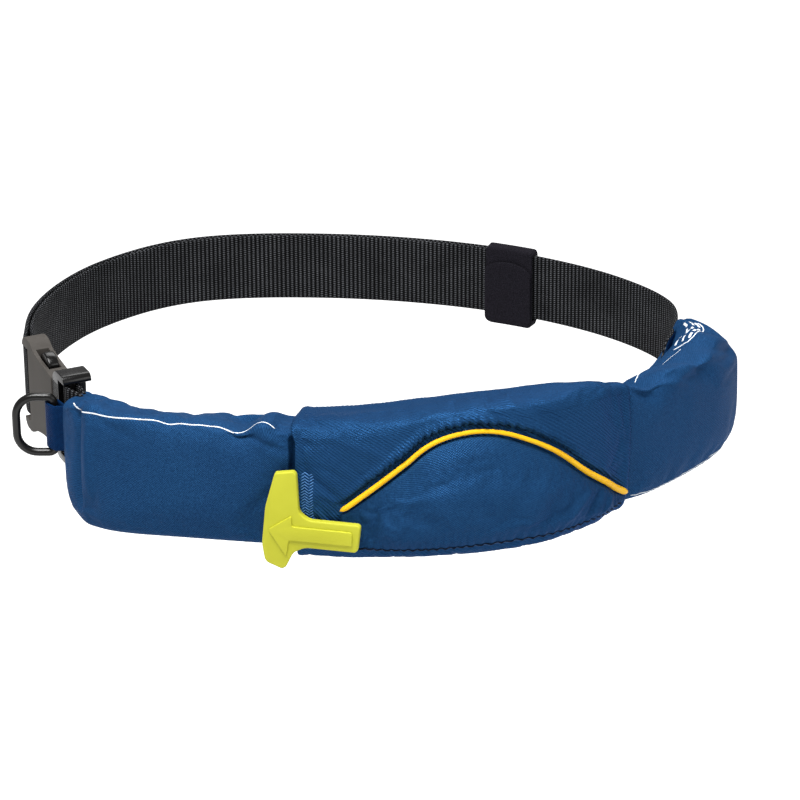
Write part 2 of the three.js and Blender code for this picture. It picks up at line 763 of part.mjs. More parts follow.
// Half outline of the socket, as shares of its length and of half its width.
const socketTable = [
  { along: 0.00, across: 0.93 },
  { along: 0.05, across: 1.00 },
  { along: 0.42, across: 0.99 },
  { along: 0.58, across: 0.90 },
  { along: 0.86, across: 0.84 },
  { along: 1.00, across: 0.81 },
];
const socketSize = buckleWidth / 2;
const socketOutline = mirrored(
  socketTable.map((row) => [row.along * socketLength, row.across * socketSize]),
);
const windowTo = socketLength - windowStart;
const windowFrom = windowTo - windowLength;
const cavityFrom = socketLength - cavityDepth;
const armOuter = cavityHeight / 2 - buckleClearance;

function socketSolid() {
  let body = plate(socketOutline, buckleThickness, buckleBevel);
  body = body.subtract(block(
    cavityFrom,
    socketLength + weld,
    -cavityHeight / 2,
    cavityHeight / 2,
    cavityThickness,
  ));
  body = body.subtract(block(windowFrom, windowTo, -buckleWidth, buckleWidth, cavityThickness));
  body = body.subtract(block(-weld, slotLength, -slotHeight / 2, slotHeight / 2, 2 * buckleThickness));
  return body.add(uprightBar(socketBar, slotHeight + 2 * weld));
}

function plugSolid() {
  const baseFrom = socketLength + buckleClearance;
  const baseHalf = slotHeight / 2 + rimWidth;
  const tongue = cavityThickness - 2 * buckleClearance;
  const baseThickness = buckleThickness - plugThinner + plugBaseDepth;
  let body = plate(mirrored([
    [baseFrom, baseHalf * 0.82],
    [baseFrom + plugBaseLength * 0.25, baseHalf],
    [buckleLength - plugBaseLength * 0.12, baseHalf],
    [buckleLength, baseHalf * 0.91],
  ]), baseThickness, buckleBevel).translate([0, 0, -plugBaseDepth / 2]);
  body = body.subtract(block(
    buckleLength - slotLength,
    buckleLength + weld,
    -slotHeight / 2,
    slotHeight / 2,
    2 * baseThickness,
  ));
  body = body.add(uprightBar(plugBar, slotHeight + 2 * weld));
  body = body.add(block(cavityFrom + tongueGap, baseFrom + weld, -armHeight / 2, armHeight / 2, tongue));
  for (const side of [-1, 1]) {
    const [low, high] = [side * (armOuter - armHeight), side * armOuter].sort((a, b) => a - b);
    body = body.add(block(windowFrom + armGap, baseFrom + weld, low, high, tongue));
    const padFrom = windowTo - 2 * buckleClearance;
    const pad = [
      [padFrom, side * (armOuter - weld)],
      [padFrom, side * (armOuter + padRise)],
      [windowTo - windowLength * padShare, side * (armOuter + padRise * 0.8)],
      [windowFrom + armGap + weld, side * (armOuter - weld)],
    ];
    body = body.add(plate(side > 0 ? pad : pad.reverse(), tongue, 0));
  }
  return body;
}
addPiece('buckle_socket', toGeometry(socketSolid()).applyMatrix4(buckleBasis), blackPlastic);
addPiece('buckle_plug', toGeometry(plugSolid()).applyMatrix4(buckleBasis), blackPlastic);

// Ring and tab: the ring's straight bar stands in a loop of cloth sewn inside the left mouth.

const ringHalf = (ringHeight - ringWire) / 2;
const ringFar = ringReach - ringWire;
const ringSwing = new THREE.Group();
ringSwing.position.copy(onWaist(-ringFromPouch, ringStandOff, 0));

// The ring's middle line, round from the straight bar and back to it.
function ringLine() {
  const points = [];
  for (const turn of spread(0, Math.PI / 2, 3)) {
    points.push(new THREE.Vector3(
      (Math.cos(turn) - 1) * ringCorner,
      0,
      ringHalf + (Math.sin(turn) - 1) * ringCorner,
    ));
  }
  const bow = ringFar - ringArm;
  for (const turn of spread(Math.PI / 2, -Math.PI / 2, 12)) {
    points.push(new THREE.Vector3(-ringArm - Math.cos(turn) * bow, 0, Math.sin(turn) * ringHalf));
  }
  for (const turn of spread(-Math.PI / 2, 0, 3)) {
    points.push(new THREE.Vector3(
      (Math.cos(turn) - 1) * ringCorner,
      0,
      -ringHalf + (Math.sin(turn) + 1) * ringCorner,
    ));
  }
  return points;
}

// A round wire closed on itself, in the plane facing the front.
function wireLoop(path, diameter, sides) {
  const turns = spread(0, 2 * Math.PI, sides).slice(0, -1);
  const facing = new THREE.Vector3(0, 1, 0);
  return loft(path.map((point, i) => {
    const before = path[(i + path.length - 1) % path.length];
    const after = path[(i + 1) % path.length];
    const forward = after.clone().sub(before).normalize();
    const across = forward.clone().cross(facing);
    return turns.map((turn) => point.clone()
      .addScaledVector(across, (Math.cos(turn) * diameter) / 2)
      .addScaledVector(facing, (Math.sin(turn) * diameter) / 2));
  }), true);
}
addPiece('d_ring', wireLoop(ringLine(), ringWire, 10), blackPlastic, ringSwing);
pack.add(ringSwing);

// The tab's middle line: out of the mouth, round the bar with some slack, and back in.
const tabRadius = ringWire / 2 + tabClearance + tabWall / 2;
const tabPitch = tabHalf - tabWall / 2;
const tabFrame = waistFrame(-ringFromPouch);

function tabRun(side) {
  return [
    { along: tabDepth, out: tabMiddle + side * tabPitch },
    { along: tabDepth / 2, out: tabMiddle + side * tabPitch },
    { along: -tabStraight, out: tabMiddle + side * tabPitch },
    { along: -ringFromPouch * 0.42, out: ringStandOff + side * tabRadius * tabBelly },
    { along: -ringFromPouch, out: ringStandOff + side * tabRadius },
  ].map((row) => ({ point: onWaist(row.along, row.out, 0) }));
}
const tabTurn = wrap(
  onWaist(-ringFromPouch, ringStandOff, 0).addScaledVector(tabFrame.forward, -tabSlack),
  tabFrame.forward.clone().negate(),
  tabFrame.out,
  tabRadius,
);
addPiece('ring_tab', band([...tabRun(-1), ...tabTurn, ...tabRun(1).reverse()], tabWidth, tabWall), cloth);

// Pull handle: a cross-bar with a short stem, lying on the front by the sleeve's left edge.

const barBack = onWaist(handleAlong, handleBarOut, handleHeightAt);
const stemBack = onWaist(handleAlong + handleReach, handleStemOut, handleHeightAt);
const handleRight = stemBack.clone().sub(barBack).normalize();
const handleOut = new THREE.Vector3(handleRight.y, -handleRight.x, 0);
const handleBasis = new THREE.Matrix4()
  .makeBasis(handleRight, new THREE.Vector3(0, 0, 1), handleOut)
  .setPosition(barBack);

// The handle's outline as shares of its length and height, from where the cross-bar's axis meets the
// stem's upper edge.
const handleTable = [
  { along: -0.05, up: 0.47 },
  { along: 0.13, up: 0.50 },
  { along: 0.16, up: 0.47 },
  { along: 0.18, up: 0.09 },
  { along: 0.28, up: 0.02 },
  { along: 0.77, up: 0.02 },
  { along: 0.80, up: 0.00 },
  { along: 0.77, up: -0.24 },
  { along: 0.74, up: -0.26 },
  { along: 0.24, up: -0.26 },
  { along: 0.12, up: -0.32 },
  { along: 0.04, up: -0.48 },
  { along: 0.00, up: -0.50 },
  { along: -0.17, up: -0.44 },
  { along: -0.20, up: -0.26 },
  { along: -0.16, up: 0.12 },
  { along: -0.06, up: 0.46 },
];

// The raised arrow whose shaft runs down the stem.
const arrowTable = [
  { along: -0.13, up: -0.10 },
  { along: 0.11, up: 0.06 },
  { along: 0.11, up: -0.05 },
  { along: 0.72, up: -0.05 },
  { along: 0.72, up: -0.19 },
  { along: 0.08, up: -0.19 },
  { along: 0.05, up: -0.36 },
];

function handlePoints(table) {
  return table.map((row) => [row.along * handleLength, row.up * handleHeight]).reverse();
}

function handleSolid() {
  const body = plate(handlePoints(handleTable), handleThickness, handleBevel)
    .translate([0, 0, handleThickness / 2]);
  const arrowThickness = handleThickness / 2 + handleRibRise;
  const arrow = plate(handlePoints(arrowTable), arrowThickness, handleRibRise / 2)
    .translate([0, 0, handleThickness / 2 + arrowThickness / 2]);
  return body.add(arrow);
}
addPiece('pull_handle', toGeometry(handleSolid()).applyMatrix4(handleBasis), handlePlastic);

// The patch that holds the handle, between its cross-bar and the pouch's front.
const patchMiddle = handleHeightAt - patchDrop;
const patchCentre = handleAlong - patchShift;
const patchStations = spread(patchCentre - patchSize / 2, patchCentre + patchSize / 2, 4);
const onHandle = new THREE.Plane().setFromNormalAndCoplanarPoint(handleOut, barBack);
addPiece('handle_patch', loft(patchStations.map((along) => {
  const front = pouchOutline(along, seatGap, pouchFolds);
  const heights = spread(patchMiddle - patchSize / 2, patchMiddle + patchSize / 2, 4);
  const low = heights.map((up) => onWaist(along, frontAt(front, up), up));
  const high = low.map((p) => {
    const reach = -onHandle.distanceToPoint(p) - seatGap;
    return p.clone().addScaledVector(handleOut, reach);
  });
  return [...low, ...high.reverse()];
})), felt);

export default pack;
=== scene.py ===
import math
import bpy
import bmesh
import numpy as np
from mathutils import Matrix, Vector, noise


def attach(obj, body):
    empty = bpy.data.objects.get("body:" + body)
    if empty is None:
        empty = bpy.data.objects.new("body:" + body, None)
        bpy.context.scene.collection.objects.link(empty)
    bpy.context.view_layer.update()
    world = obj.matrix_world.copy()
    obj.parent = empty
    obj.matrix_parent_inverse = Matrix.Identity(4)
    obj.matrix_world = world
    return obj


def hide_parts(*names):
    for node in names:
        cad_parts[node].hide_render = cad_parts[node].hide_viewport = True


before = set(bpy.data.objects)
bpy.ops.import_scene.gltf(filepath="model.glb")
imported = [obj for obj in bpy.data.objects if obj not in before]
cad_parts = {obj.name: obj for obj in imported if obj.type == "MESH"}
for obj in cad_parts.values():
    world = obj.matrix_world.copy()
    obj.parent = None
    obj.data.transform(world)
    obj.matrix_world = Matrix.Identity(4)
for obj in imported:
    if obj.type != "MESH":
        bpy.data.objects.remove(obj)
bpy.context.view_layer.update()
scene = bpy.context.scene
mm = 0.001
print("frame loaded, nodes:", len(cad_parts))


# Small helpers

def deselectAll():
    if bpy.context.object and bpy.context.object.mode != "OBJECT":
        bpy.ops.object.mode_set(mode="OBJECT")
    bpy.ops.object.select_all(action="DESELECT")


def makeActive(piece):
    deselectAll()
    piece.select_set(True)
    bpy.context.view_layer.objects.active = piece


def applyAll(piece):  # every modifier, from the top down
    makeActive(piece)
    for modifier in list(piece.modifiers):
        bpy.ops.object.modifier_apply(modifier=modifier.name)


def roundEdges(piece, width, steps=3, angle=50):
    rounded = piece.modifiers.new("rounded", "BEVEL")
    rounded.width = width
    rounded.segments = steps
    rounded.limit_method = "ANGLE"
    rounded.angle_limit = math.radians(angle)
    rounded.use_clamp_overlap = True
    applyAll(piece)


def makeFiner(piece):
    finer = piece.modifiers.new("finer", "SUBSURF")
    finer.levels = finer.render_levels = 1
    applyAll(piece)


def smoothStep(low, high, value):
    t = np.clip((np.asarray(value, float) - low) / (high - low), 0, 1)
    return t * t * (3 - 2 * t)


def bell(value, centre, reach):
    return np.exp(-((np.asarray(value, float) - centre) / reach) ** 2)


def readTable(rows, at, column):  # a smooth curve through one column, the first column is the place
    keys = np.array([row[0] for row in rows], float)
    values = np.array([row[column] for row in rows], float)
    slopes = np.empty_like(values)
    low, high = np.maximum(np.arange(len(keys)) - 1, 0), np.minimum(np.arange(len(keys)) + 1, len(keys) - 1)
    slopes[:] = (values[high] - values[low]) / (keys[high] - keys[low])
    at = np.clip(np.asarray(at, float), keys[0], keys[-1])
    i = np.clip(np.searchsorted(keys, at, side="right") - 1, 0, len(keys) - 2)
    step = keys[i + 1] - keys[i]
    t = (at - keys[i]) / step
    rise = t * t * (3 - 2 * t)
    return (values[i] * (1 - rise) + values[i + 1] * rise
            + step * (slopes[i] * t * (1 - t) ** 2 - slopes[i + 1] * t * t * (1 - t)))


def closedCurve(points, perSpan):  # a closed curve through the points; perSpan is one number or one for each span
    p = np.array(points, float)
    n = len(p)
    counts = np.broadcast_to(perSpan, n)
    dense = []
    for i in range(n):
        t = np.linspace(0, 1, counts[i], endpoint=False)[:, None]
        a, b, c, d = p[i - 1], p[i], p[(i + 1) % n], p[(i + 2) % n]
        stepA, stepB, stepC = (np.linalg.norm(v) ** 0.5 for v in (b - a, c - b, d - c))
        leave = ((b - a) / stepA - (c - a) / (stepA + stepB) + (c - b) / stepB) * stepB
        arrive = ((c - b) / stepB - (d - b) / (stepB + stepC) + (d - c) / stepC) * stepB
        dense.append(b * (2 * t ** 3 - 3 * t ** 2 + 1) + leave * (t ** 3 - 2 * t ** 2 + t)
                     + c * (3 * t ** 2 - 2 * t ** 3) + arrive * (t ** 3 - t ** 2))
    return np.vstack(dense)


def roughness(points, scale, seed=0.0):  # smooth noise, about -1 to 1, at an array of places
    flat = np.asarray(points, float).reshape(-1, 3)
    values = [noise.noise(Vector(p) * (1 / scale) + Vector((seed, seed * 1.7, -seed))) for p in flat]
    return np.array(values).reshape(np.asarray(points).shape[:-1]) * 1.6


# The waist line, anticlockwise from the pouch's left end

waist = {
    "halfWidth": 187 * mm,
    "halfDepth": 147 * mm,
    "rows": [  # across, back
        (-0.818, -0.503), (-0.684, -0.605), (-0.481, -0.653), (-0.214, -0.704), (0.053, -0.728),
        (0.294, -0.680), (0.481, -0.517), (0.631, -0.313), (0.749, -0.109), (0.809, 0.102),
        (0.812, 0.330), (0.660, 0.595), (0.321, 0.860), (-0.160, 0.996), (-0.588, 0.948),
        (-0.836, 0.700), (-0.970, 0.306), (-0.973, -0.068),
    ],
}
waistDense = closedCurve([(a * waist["halfWidth"], b * waist["halfDepth"]) for a, b in waist["rows"]], 240)
waistClosed = np.vstack([waistDense, waistDense[:1]])
waistAlong = np.concatenate([[0], np.cumsum(np.linalg.norm(np.diff(waistClosed, axis=0), axis=1))])
waistLength = waistAlong[-1]


def onPlan(along):
    along = np.mod(along, waistLength)
    return np.stack([np.interp(along, waistAlong, waistClosed[:, k]) for k in (0, 1)], axis=-1)


def waistForward(along):
    ahead = onPlan(np.asarray(along, float) + 0.4 * mm) - onPlan(np.asarray(along, float) - 0.4 * mm)
    return ahead / np.linalg.norm(ahead, axis=-1, keepdims=True)


def onWaist(along, out, up):  # a place by its distance along the waist line, outwards and upwards
    along, out, up = np.broadcast_arrays(np.asarray(along, float), out, up)
    here, forward = onPlan(along), waistForward(along)
    return np.stack([here[..., 0] + forward[..., 1] * out, here[..., 1] - forward[..., 0] * out, up], axis=-1)


print("waist line", round(float(waistLength), 4), "m")


# Meshes from grids of points

def newPiece(name, points, faces, uvs=None):
    mesh = bpy.data.meshes.new(name)
    mesh.from_pydata([tuple(p) for p in points], [], faces)
    mesh.update()
    if uvs is not None:
        layer = mesh.uv_layers.new(name="cloth")
        layer.data.foreach_set("uv", np.asarray(uvs, float).ravel())
    piece = bpy.data.objects.new(name, mesh)
    scene.collection.objects.link(piece)
    return piece


# A sheet, tube or closed body from rows of points. The uv map holds real lengths: u along, v across the rows.
def gridPiece(name, grid, along, ring=True, joined=False, caps=False):
    grid = np.asarray(grid, float)
    rows, cols = grid.shape[:2]
    spans, sides = (rows if joined else rows - 1), (cols if ring else cols - 1)
    around = np.vstack([grid[rows // 2], grid[rows // 2][:1]])
    girth = np.concatenate([[0], np.cumsum(np.linalg.norm(np.diff(around, axis=0), axis=1))])
    along = np.append(np.asarray(along, float), along[-1] + (along[-1] - along[-2]))
    faces, uvs = [], []
    for i in range(spans):
        j = (i + 1) % rows
        for k in range(sides):
            m = (k + 1) % cols
            faces.append((i * cols + k, i * cols + m, j * cols + m, j * cols + k))
            uvs += [(along[i], girth[k]), (along[i], girth[k + 1]),
                    (along[i + 1], girth[k + 1]), (along[i + 1], girth[k])]
    if caps:
        for start, flip in ((0, True), ((rows - 1) * cols, False)):
            loop = [start + k for k in range(cols)]
            faces.append(tuple(loop[::-1] if flip else loop)[::-1])
            uvs += [(0.0, 0.0)] * cols
    return newPiece(name, grid.reshape(-1, 3), faces, uvs)


def outwardAgain(piece):  # a closed body's faces look outwards
    shape = bmesh.new()
    shape.from_mesh(piece.data)
    bmesh.ops.recalc_face_normals(shape, faces=shape.faces)
    shape.to_mesh(piece.data)
    shape.free()


def placesOf(piece):
    places = np.empty(len(piece.data.vertices) * 3)
    piece.data.vertices.foreach_get("co", places)
    return places.reshape(-1, 3)


def movePlaces(piece, places):
    piece.data.vertices.foreach_set("co", np.ascontiguousarray(places).ravel())
    piece.data.update()


def gridNormals(grid, ring=True):  # outwards for rows along the waist that run over the top to the front
    across = np.roll(grid, -1, 1) - np.roll(grid, 1, 1) if ring else np.gradient(grid, axis=1)
    along = np.gradient(grid, axis=0)
    normal = np.cross(across, along)
    return normal / np.maximum(np.linalg.norm(normal, axis=-1, keepdims=True), 1e-12)


# Lets held cloth swell and crease under a little pressure; no point moves further than the cap.
def settleCloth(piece, held, pressure, spare, cap):
    start = placesOf(piece)
    group = piece.vertex_groups.new(name="held")
    levels = np.round(np.clip(held, 0, 1) * 20) / 20
    for level in np.unique(levels):
        if level > 0:
            group.add([int(i) for i in np.flatnonzero(levels == level)], float(level), "REPLACE")
    cloth = piece.modifiers.new("cloth", "CLOTH")
    cloth.settings.quality = 5
    cloth.settings.mass = 0.12
    cloth.settings.tension_stiffness = 12
    cloth.settings.compression_stiffness = 12
    cloth.settings.shear_stiffness = 5
    cloth.settings.bending_stiffness = 0.15
    cloth.settings.shrink_min = -spare
    cloth.settings.use_pressure = True
    cloth.settings.uniform_pressure_force = pressure
    cloth.settings.effector_weights.gravity = 0
    cloth.settings.vertex_group_mass = "held"
    cloth.collision_settings.use_collision = False
    scene.frame_start, scene.frame_end = 1, 20
    for number in range(1, 21):
        scene.frame_set(number)
    settled = piece.evaluated_get(bpy.context.evaluated_depsgraph_get())
    moved = np.empty(len(start) * 3)
    settled.data.vertices.foreach_get("co", moved)
    step = moved.reshape(-1, 3) - start
    far = np.linalg.norm(step, axis=1, keepdims=True)
    step *= np.minimum(1, cap * np.tanh(far / cap) / np.maximum(far, 1e-9))
    piece.modifiers.remove(cloth)
    piece.vertex_groups.remove(group)
    scene.frame_set(1)
    movePlaces(piece, start + step)
    print(piece.name, "settled, furthest", round(float(far.max()) / mm, 1), "mm before the cap")


def finishPiece(piece, material, body="pack", node=None, slot=None, flat=False):
    piece.data.materials.clear()
    piece.data.materials.append(material)
    makeActive(piece)
    if flat:
        bpy.ops.object.shade_smooth_by_angle(angle=math.radians(35))
    else:
        bpy.ops.object.shade_smooth()
    deselectAll()
    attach(piece, body)
    if node:
        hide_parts(*([node] if isinstance(node, str) else node))
    return piece


def closedPiece(name, grid, along, material, **words):  # a capped body from rows of points
    piece = gridPiece(name, grid, along, caps=True)
    outwardAgain(piece)
    return finishPiece(piece, material, **words)


# Materials

def newMaterial(name, **constants):
    material = bpy.data.materials.new(name)
    material.use_nodes = True
    shader = material.node_tree.nodes["Principled BSDF"]
    for socket, value in constants.items():
        shader.inputs[socket.replace("_", " ")].default_value = value
    return material, material.node_tree, shader


def addNode(tree, kind, **settings):
    node = tree.nodes.new(kind)
    for key, value in settings.items():
        setattr(node, key, value)
    return node


def maths(tree, operation, first, second=None, clamp=False):
    node = addNode(tree, "ShaderNodeMath", operation=operation, use_clamp=clamp)
    for socket, value in zip(node.inputs, (first, second)):
        if isinstance(value, bpy.types.NodeSocket):
            tree.links.new(value, socket)
        elif value is not None:
            socket.default_value = value
    return node.outputs[0]


def times(tree, first, second, clamp=False):
    return maths(tree, "MULTIPLY", first, second, clamp)


def plus(tree, first, second, clamp=False):
    return maths(tree, "ADD", first, second, clamp)


def wave(tree, value, pitch):
    return maths(tree, "SINE", times(tree, value, 2 * math.pi / pitch))


def mixed(tree, share, dark, light):
    node = addNode(tree, "ShaderNodeMix", data_type="RGBA")
    for socket, value in zip((node.inputs[0], node.inputs[6], node.inputs[7]), (share, dark, light)):
        if isinstance(value, bpy.types.NodeSocket):
            tree.links.new(value, socket)
        else:
            socket.default_value = value
    return node.outputs[2]


def clothPlaces(tree):
    split = addNode(tree, "ShaderNodeSeparateXYZ")
    tree.links.new(addNode(tree, "ShaderNodeUVMap", uv_map="cloth").outputs[0], split.inputs[0])
    return split.outputs[0], split.outputs[1]


def noiseAt(tree, scale, detail=2.0, rough=0.5):
    node = addNode(tree, "ShaderNodeTexNoise")
    node.inputs["Scale"].default_value = scale
    node.inputs["Detail"].default_value = detail
    node.inputs["Roughness"].default_value = rough
    tree.links.new(addNode(tree, "ShaderNodeTexCoord").outputs["Object"], node.inputs["Vector"])
    return node.outputs[0]


def addBump(tree, shader, height, distance, strength=1.0, under=None):
    bump = addNode(tree, "ShaderNodeBump")
    bump.inputs["Strength"].default_value = strength
    bump.inputs["Distance"].default_value = distance
    tree.links.new(height, bump.inputs["Height"])
    if under:
        tree.links.new(under, bump.inputs["Normal"])
    tree.links.new(bump.outputs[0], shader.inputs["Normal"])
    return bump.outputs[0]


def rgb(red, green, blue):  # screen colour, 0 to 255, as the shader's own
    return tuple((v / 255 / 12.92 if v <= 10 else ((v / 255 + 0.055) / 1.055) ** 2.4)
                 for v in (red, green, blue)) + (1.0,)


nylon = {
    "dark": rgb(18, 48, 84),
    "light": rgb(38, 80, 124),
    "weavePitch": 1.2 * mm,
    "twillPitch": 2.0 * mm,
}


def nylonMaterial(name, twill, dark=None, light=None, rough=0.44, satin=0.45):
    material, tree, shader = newMaterial(
        name, Roughness=rough, Metallic=satin, Specular_IOR_Level=0.06, Specular_Tint=rgb(120, 175, 240))
    u, v = clothPlaces(tree)
    if twill:  # slanted ribs with a faint cross thread
        ribs = wave(tree, maths(tree, "SUBTRACT", u, v), nylon["twillPitch"])
        cross = wave(tree, v, 0.6 * nylon["twillPitch"])
        weave = plus(tree, times(tree, ribs, 0.8), times(tree, cross, 0.2))
    else:  # one thread over, one under
        weave = times(tree, wave(tree, u, nylon["weavePitch"]), wave(tree, v, nylon["weavePitch"]))
    slub = noiseAt(tree, 1100, 2)
    patchy = noiseAt(tree, 26, 3)
    tone = plus(tree, times(tree, patchy, 0.3), times(tree, weave, 0.14 if twill else 0.26))
    tone = plus(tree, tone, times(tree, slub, 0.6 if twill else 1.1))
    tone = maths(tree, "SUBTRACT", tone, 0.0 if twill else 0.25, clamp=True)
    colour = mixed(tree, tone, dark or nylon["dark"], light or nylon["light"])
    tree.links.new(colour, shader.inputs["Base Color"])
    height = plus(tree, weave, times(tree, slub, 0.8))
    addBump(tree, shader, height, (0.16 if twill else 0.10) * mm, 1.0)
    return material


def webbingMaterial(name, dark, light, ribPitch=2.4 * mm, threadPitch=1.15 * mm, bumpDepth=0.22 * mm):
    material, tree, shader = newMaterial(
        name, Roughness=0.65, Specular_IOR_Level=0.05)
    u, v = clothPlaces(tree)
    columns = maths(tree, "DIVIDE", u, ribPitch)
    odd = times(tree, maths(tree, "FLOORED_MODULO", maths(tree, "FLOOR", columns), 2.0), 0.5)
    places = plus(tree, maths(tree, "DIVIDE", v, threadPitch), odd)

    def dome(value):  # 0 at a cell's edges, 1 in its middle
        centred = maths(tree, "SUBTRACT", maths(tree, "FRACT", value), 0.5)
        return maths(tree, "SUBTRACT", 1.0, times(tree, times(tree, centred, centred), 4.0))

    thread = times(tree, dome(columns), dome(places))
    # painted highlight: the tops of the raised threads get the light colour, broken up by a noise, in place of the
    # light they catch
    highlightBreakup = noiseAt(tree, 60, 3)
    paintedHighlightShare = times(tree, maths(tree, "POWER", thread, 4.0), plus(tree, highlightBreakup, 0.3), True)
    tree.links.new(mixed(tree, paintedHighlightShare, dark, light), shader.inputs["Base Color"])
    addBump(tree, shader, thread, bumpDepth, 1.0)
    return material


def feltMaterial(name, dark, light):
    material, tree, shader = newMaterial(
        name, Roughness=0.95, Specular_IOR_Level=0.05, Sheen_Weight=0.04, Sheen_Roughness=0.6,
        Sheen_Tint=rgb(95, 90, 105))
    fuzz = noiseAt(tree, 1300, 3, 0.75)
    tree.links.new(mixed(tree, maths(tree, "POWER", fuzz, 1.6, True), dark, light), shader.inputs["Base Color"])
    addBump(tree, shader, fuzz, 0.35 * mm, 0.9)
    return material


def plasticMaterial(name, dark, light, rough=0.38, grain=0.03 * mm, shine=0.5):
    material, tree, shader = newMaterial(name, Specular_IOR_Level=shine)
    cloudy = noiseAt(tree, 45, 3)
    fine = noiseAt(tree, 1500, 2)
    tree.links.new(mixed(tree, cloudy, dark, light), shader.inputs["Base Color"])
    rougher = plus(tree, times(tree, cloudy, 0.16), rough - 0.08)
    tree.links.new(rougher, shader.inputs["Roughness"])
    addBump(tree, shader, fine, grain, 0.7)
    return material


piping = {"diameter": 3.4 * mm, "leftDiameter": 2.7 * mm, "gap": 0.6 * mm, "sides": 16, "twist": 0.8 * mm}


def pipingMaterial(name, dark, light):
    material, tree, shader = newMaterial(
        name, Roughness=0.45, Specular_IOR_Level=0.2)
    u, v = clothPlaces(tree)
    twist = wave(tree, plus(tree, u, times(tree, v, 0.9)), piping["twist"])
    share = plus(tree, times(tree, twist, 0.22), noiseAt(tree, 120, 2), True)
    tree.links.new(mixed(tree, share, dark, light), shader.inputs["Base Color"])
    addBump(tree, shader, twist, 0.06 * mm, 0.7)
    return material


def threadMaterial(name, dark, light):
    material, tree, shader = newMaterial(name, Roughness=0.6, Specular_IOR_Level=0.1)
    fine = noiseAt(tree, 1800, 2)
    tree.links.new(mixed(tree, fine, dark, light), shader.inputs["Base Color"])
    addBump(tree, shader, fine, 0.08 * mm, 0.8)
    return material


pouchCloth = nylonMaterial("pouch_nylon", twill=False, rough=0.55, satin=0.25)
sleeveCloth = nylonMaterial("sleeve_nylon", twill=True)
pocketCloth = nylonMaterial("pocket_nylon", twill=False, rough=0.46, satin=0.4)
# painted shade: the tab is cut from the pouch's blue nylon and given darker colours
shadedTabCloth = nylonMaterial("shaded_tab_nylon", twill=False, dark=rgb(8, 30, 64), light=rgb(16, 50, 92), satin=0.2)
# the second colour of the black webbing is its painted highlight on the thread tops
blackWebbing = webbingMaterial("black_webbing", rgb(4, 4, 5), rgb(104, 106, 110))
keeperFelt = feltMaterial("keeper_felt", rgb(8, 7, 10), rgb(44, 42, 50))
buckleGrey = plasticMaterial("socket_plastic", rgb(56, 53, 50), rgb(80, 76, 72), rough=0.6, shine=0.15)
buckleBlack = plasticMaterial("plug_plastic", rgb(7, 7, 7), rgb(16, 15, 15), rough=0.24, shine=0.35)
ringPlastic = plasticMaterial("ring_plastic", rgb(8, 8, 8), rgb(18, 17, 16), rough=0.28, shine=0.4)
handlePlastic = plasticMaterial("handle_plastic", rgb(178, 178, 38), rgb(200, 200, 60), rough=0.5, shine=0.2)
pipingCord = pipingMaterial("piping_cord", rgb(240, 172, 4), rgb(255, 204, 26))
lightThread = threadMaterial("light_thread", rgb(52, 98, 150), rgb(88, 136, 188))
# dark thread for the stitches beside the piping, also used for the painted shade line under the pocket
darkThreadAndShade = threadMaterial("dark_thread_and_shade", rgb(3, 10, 24), rgb(8, 22, 46))
whitePrint = threadMaterial("white_print", rgb(206, 214, 222), rgb(240, 244, 246))
print("materials made")


# Pouch

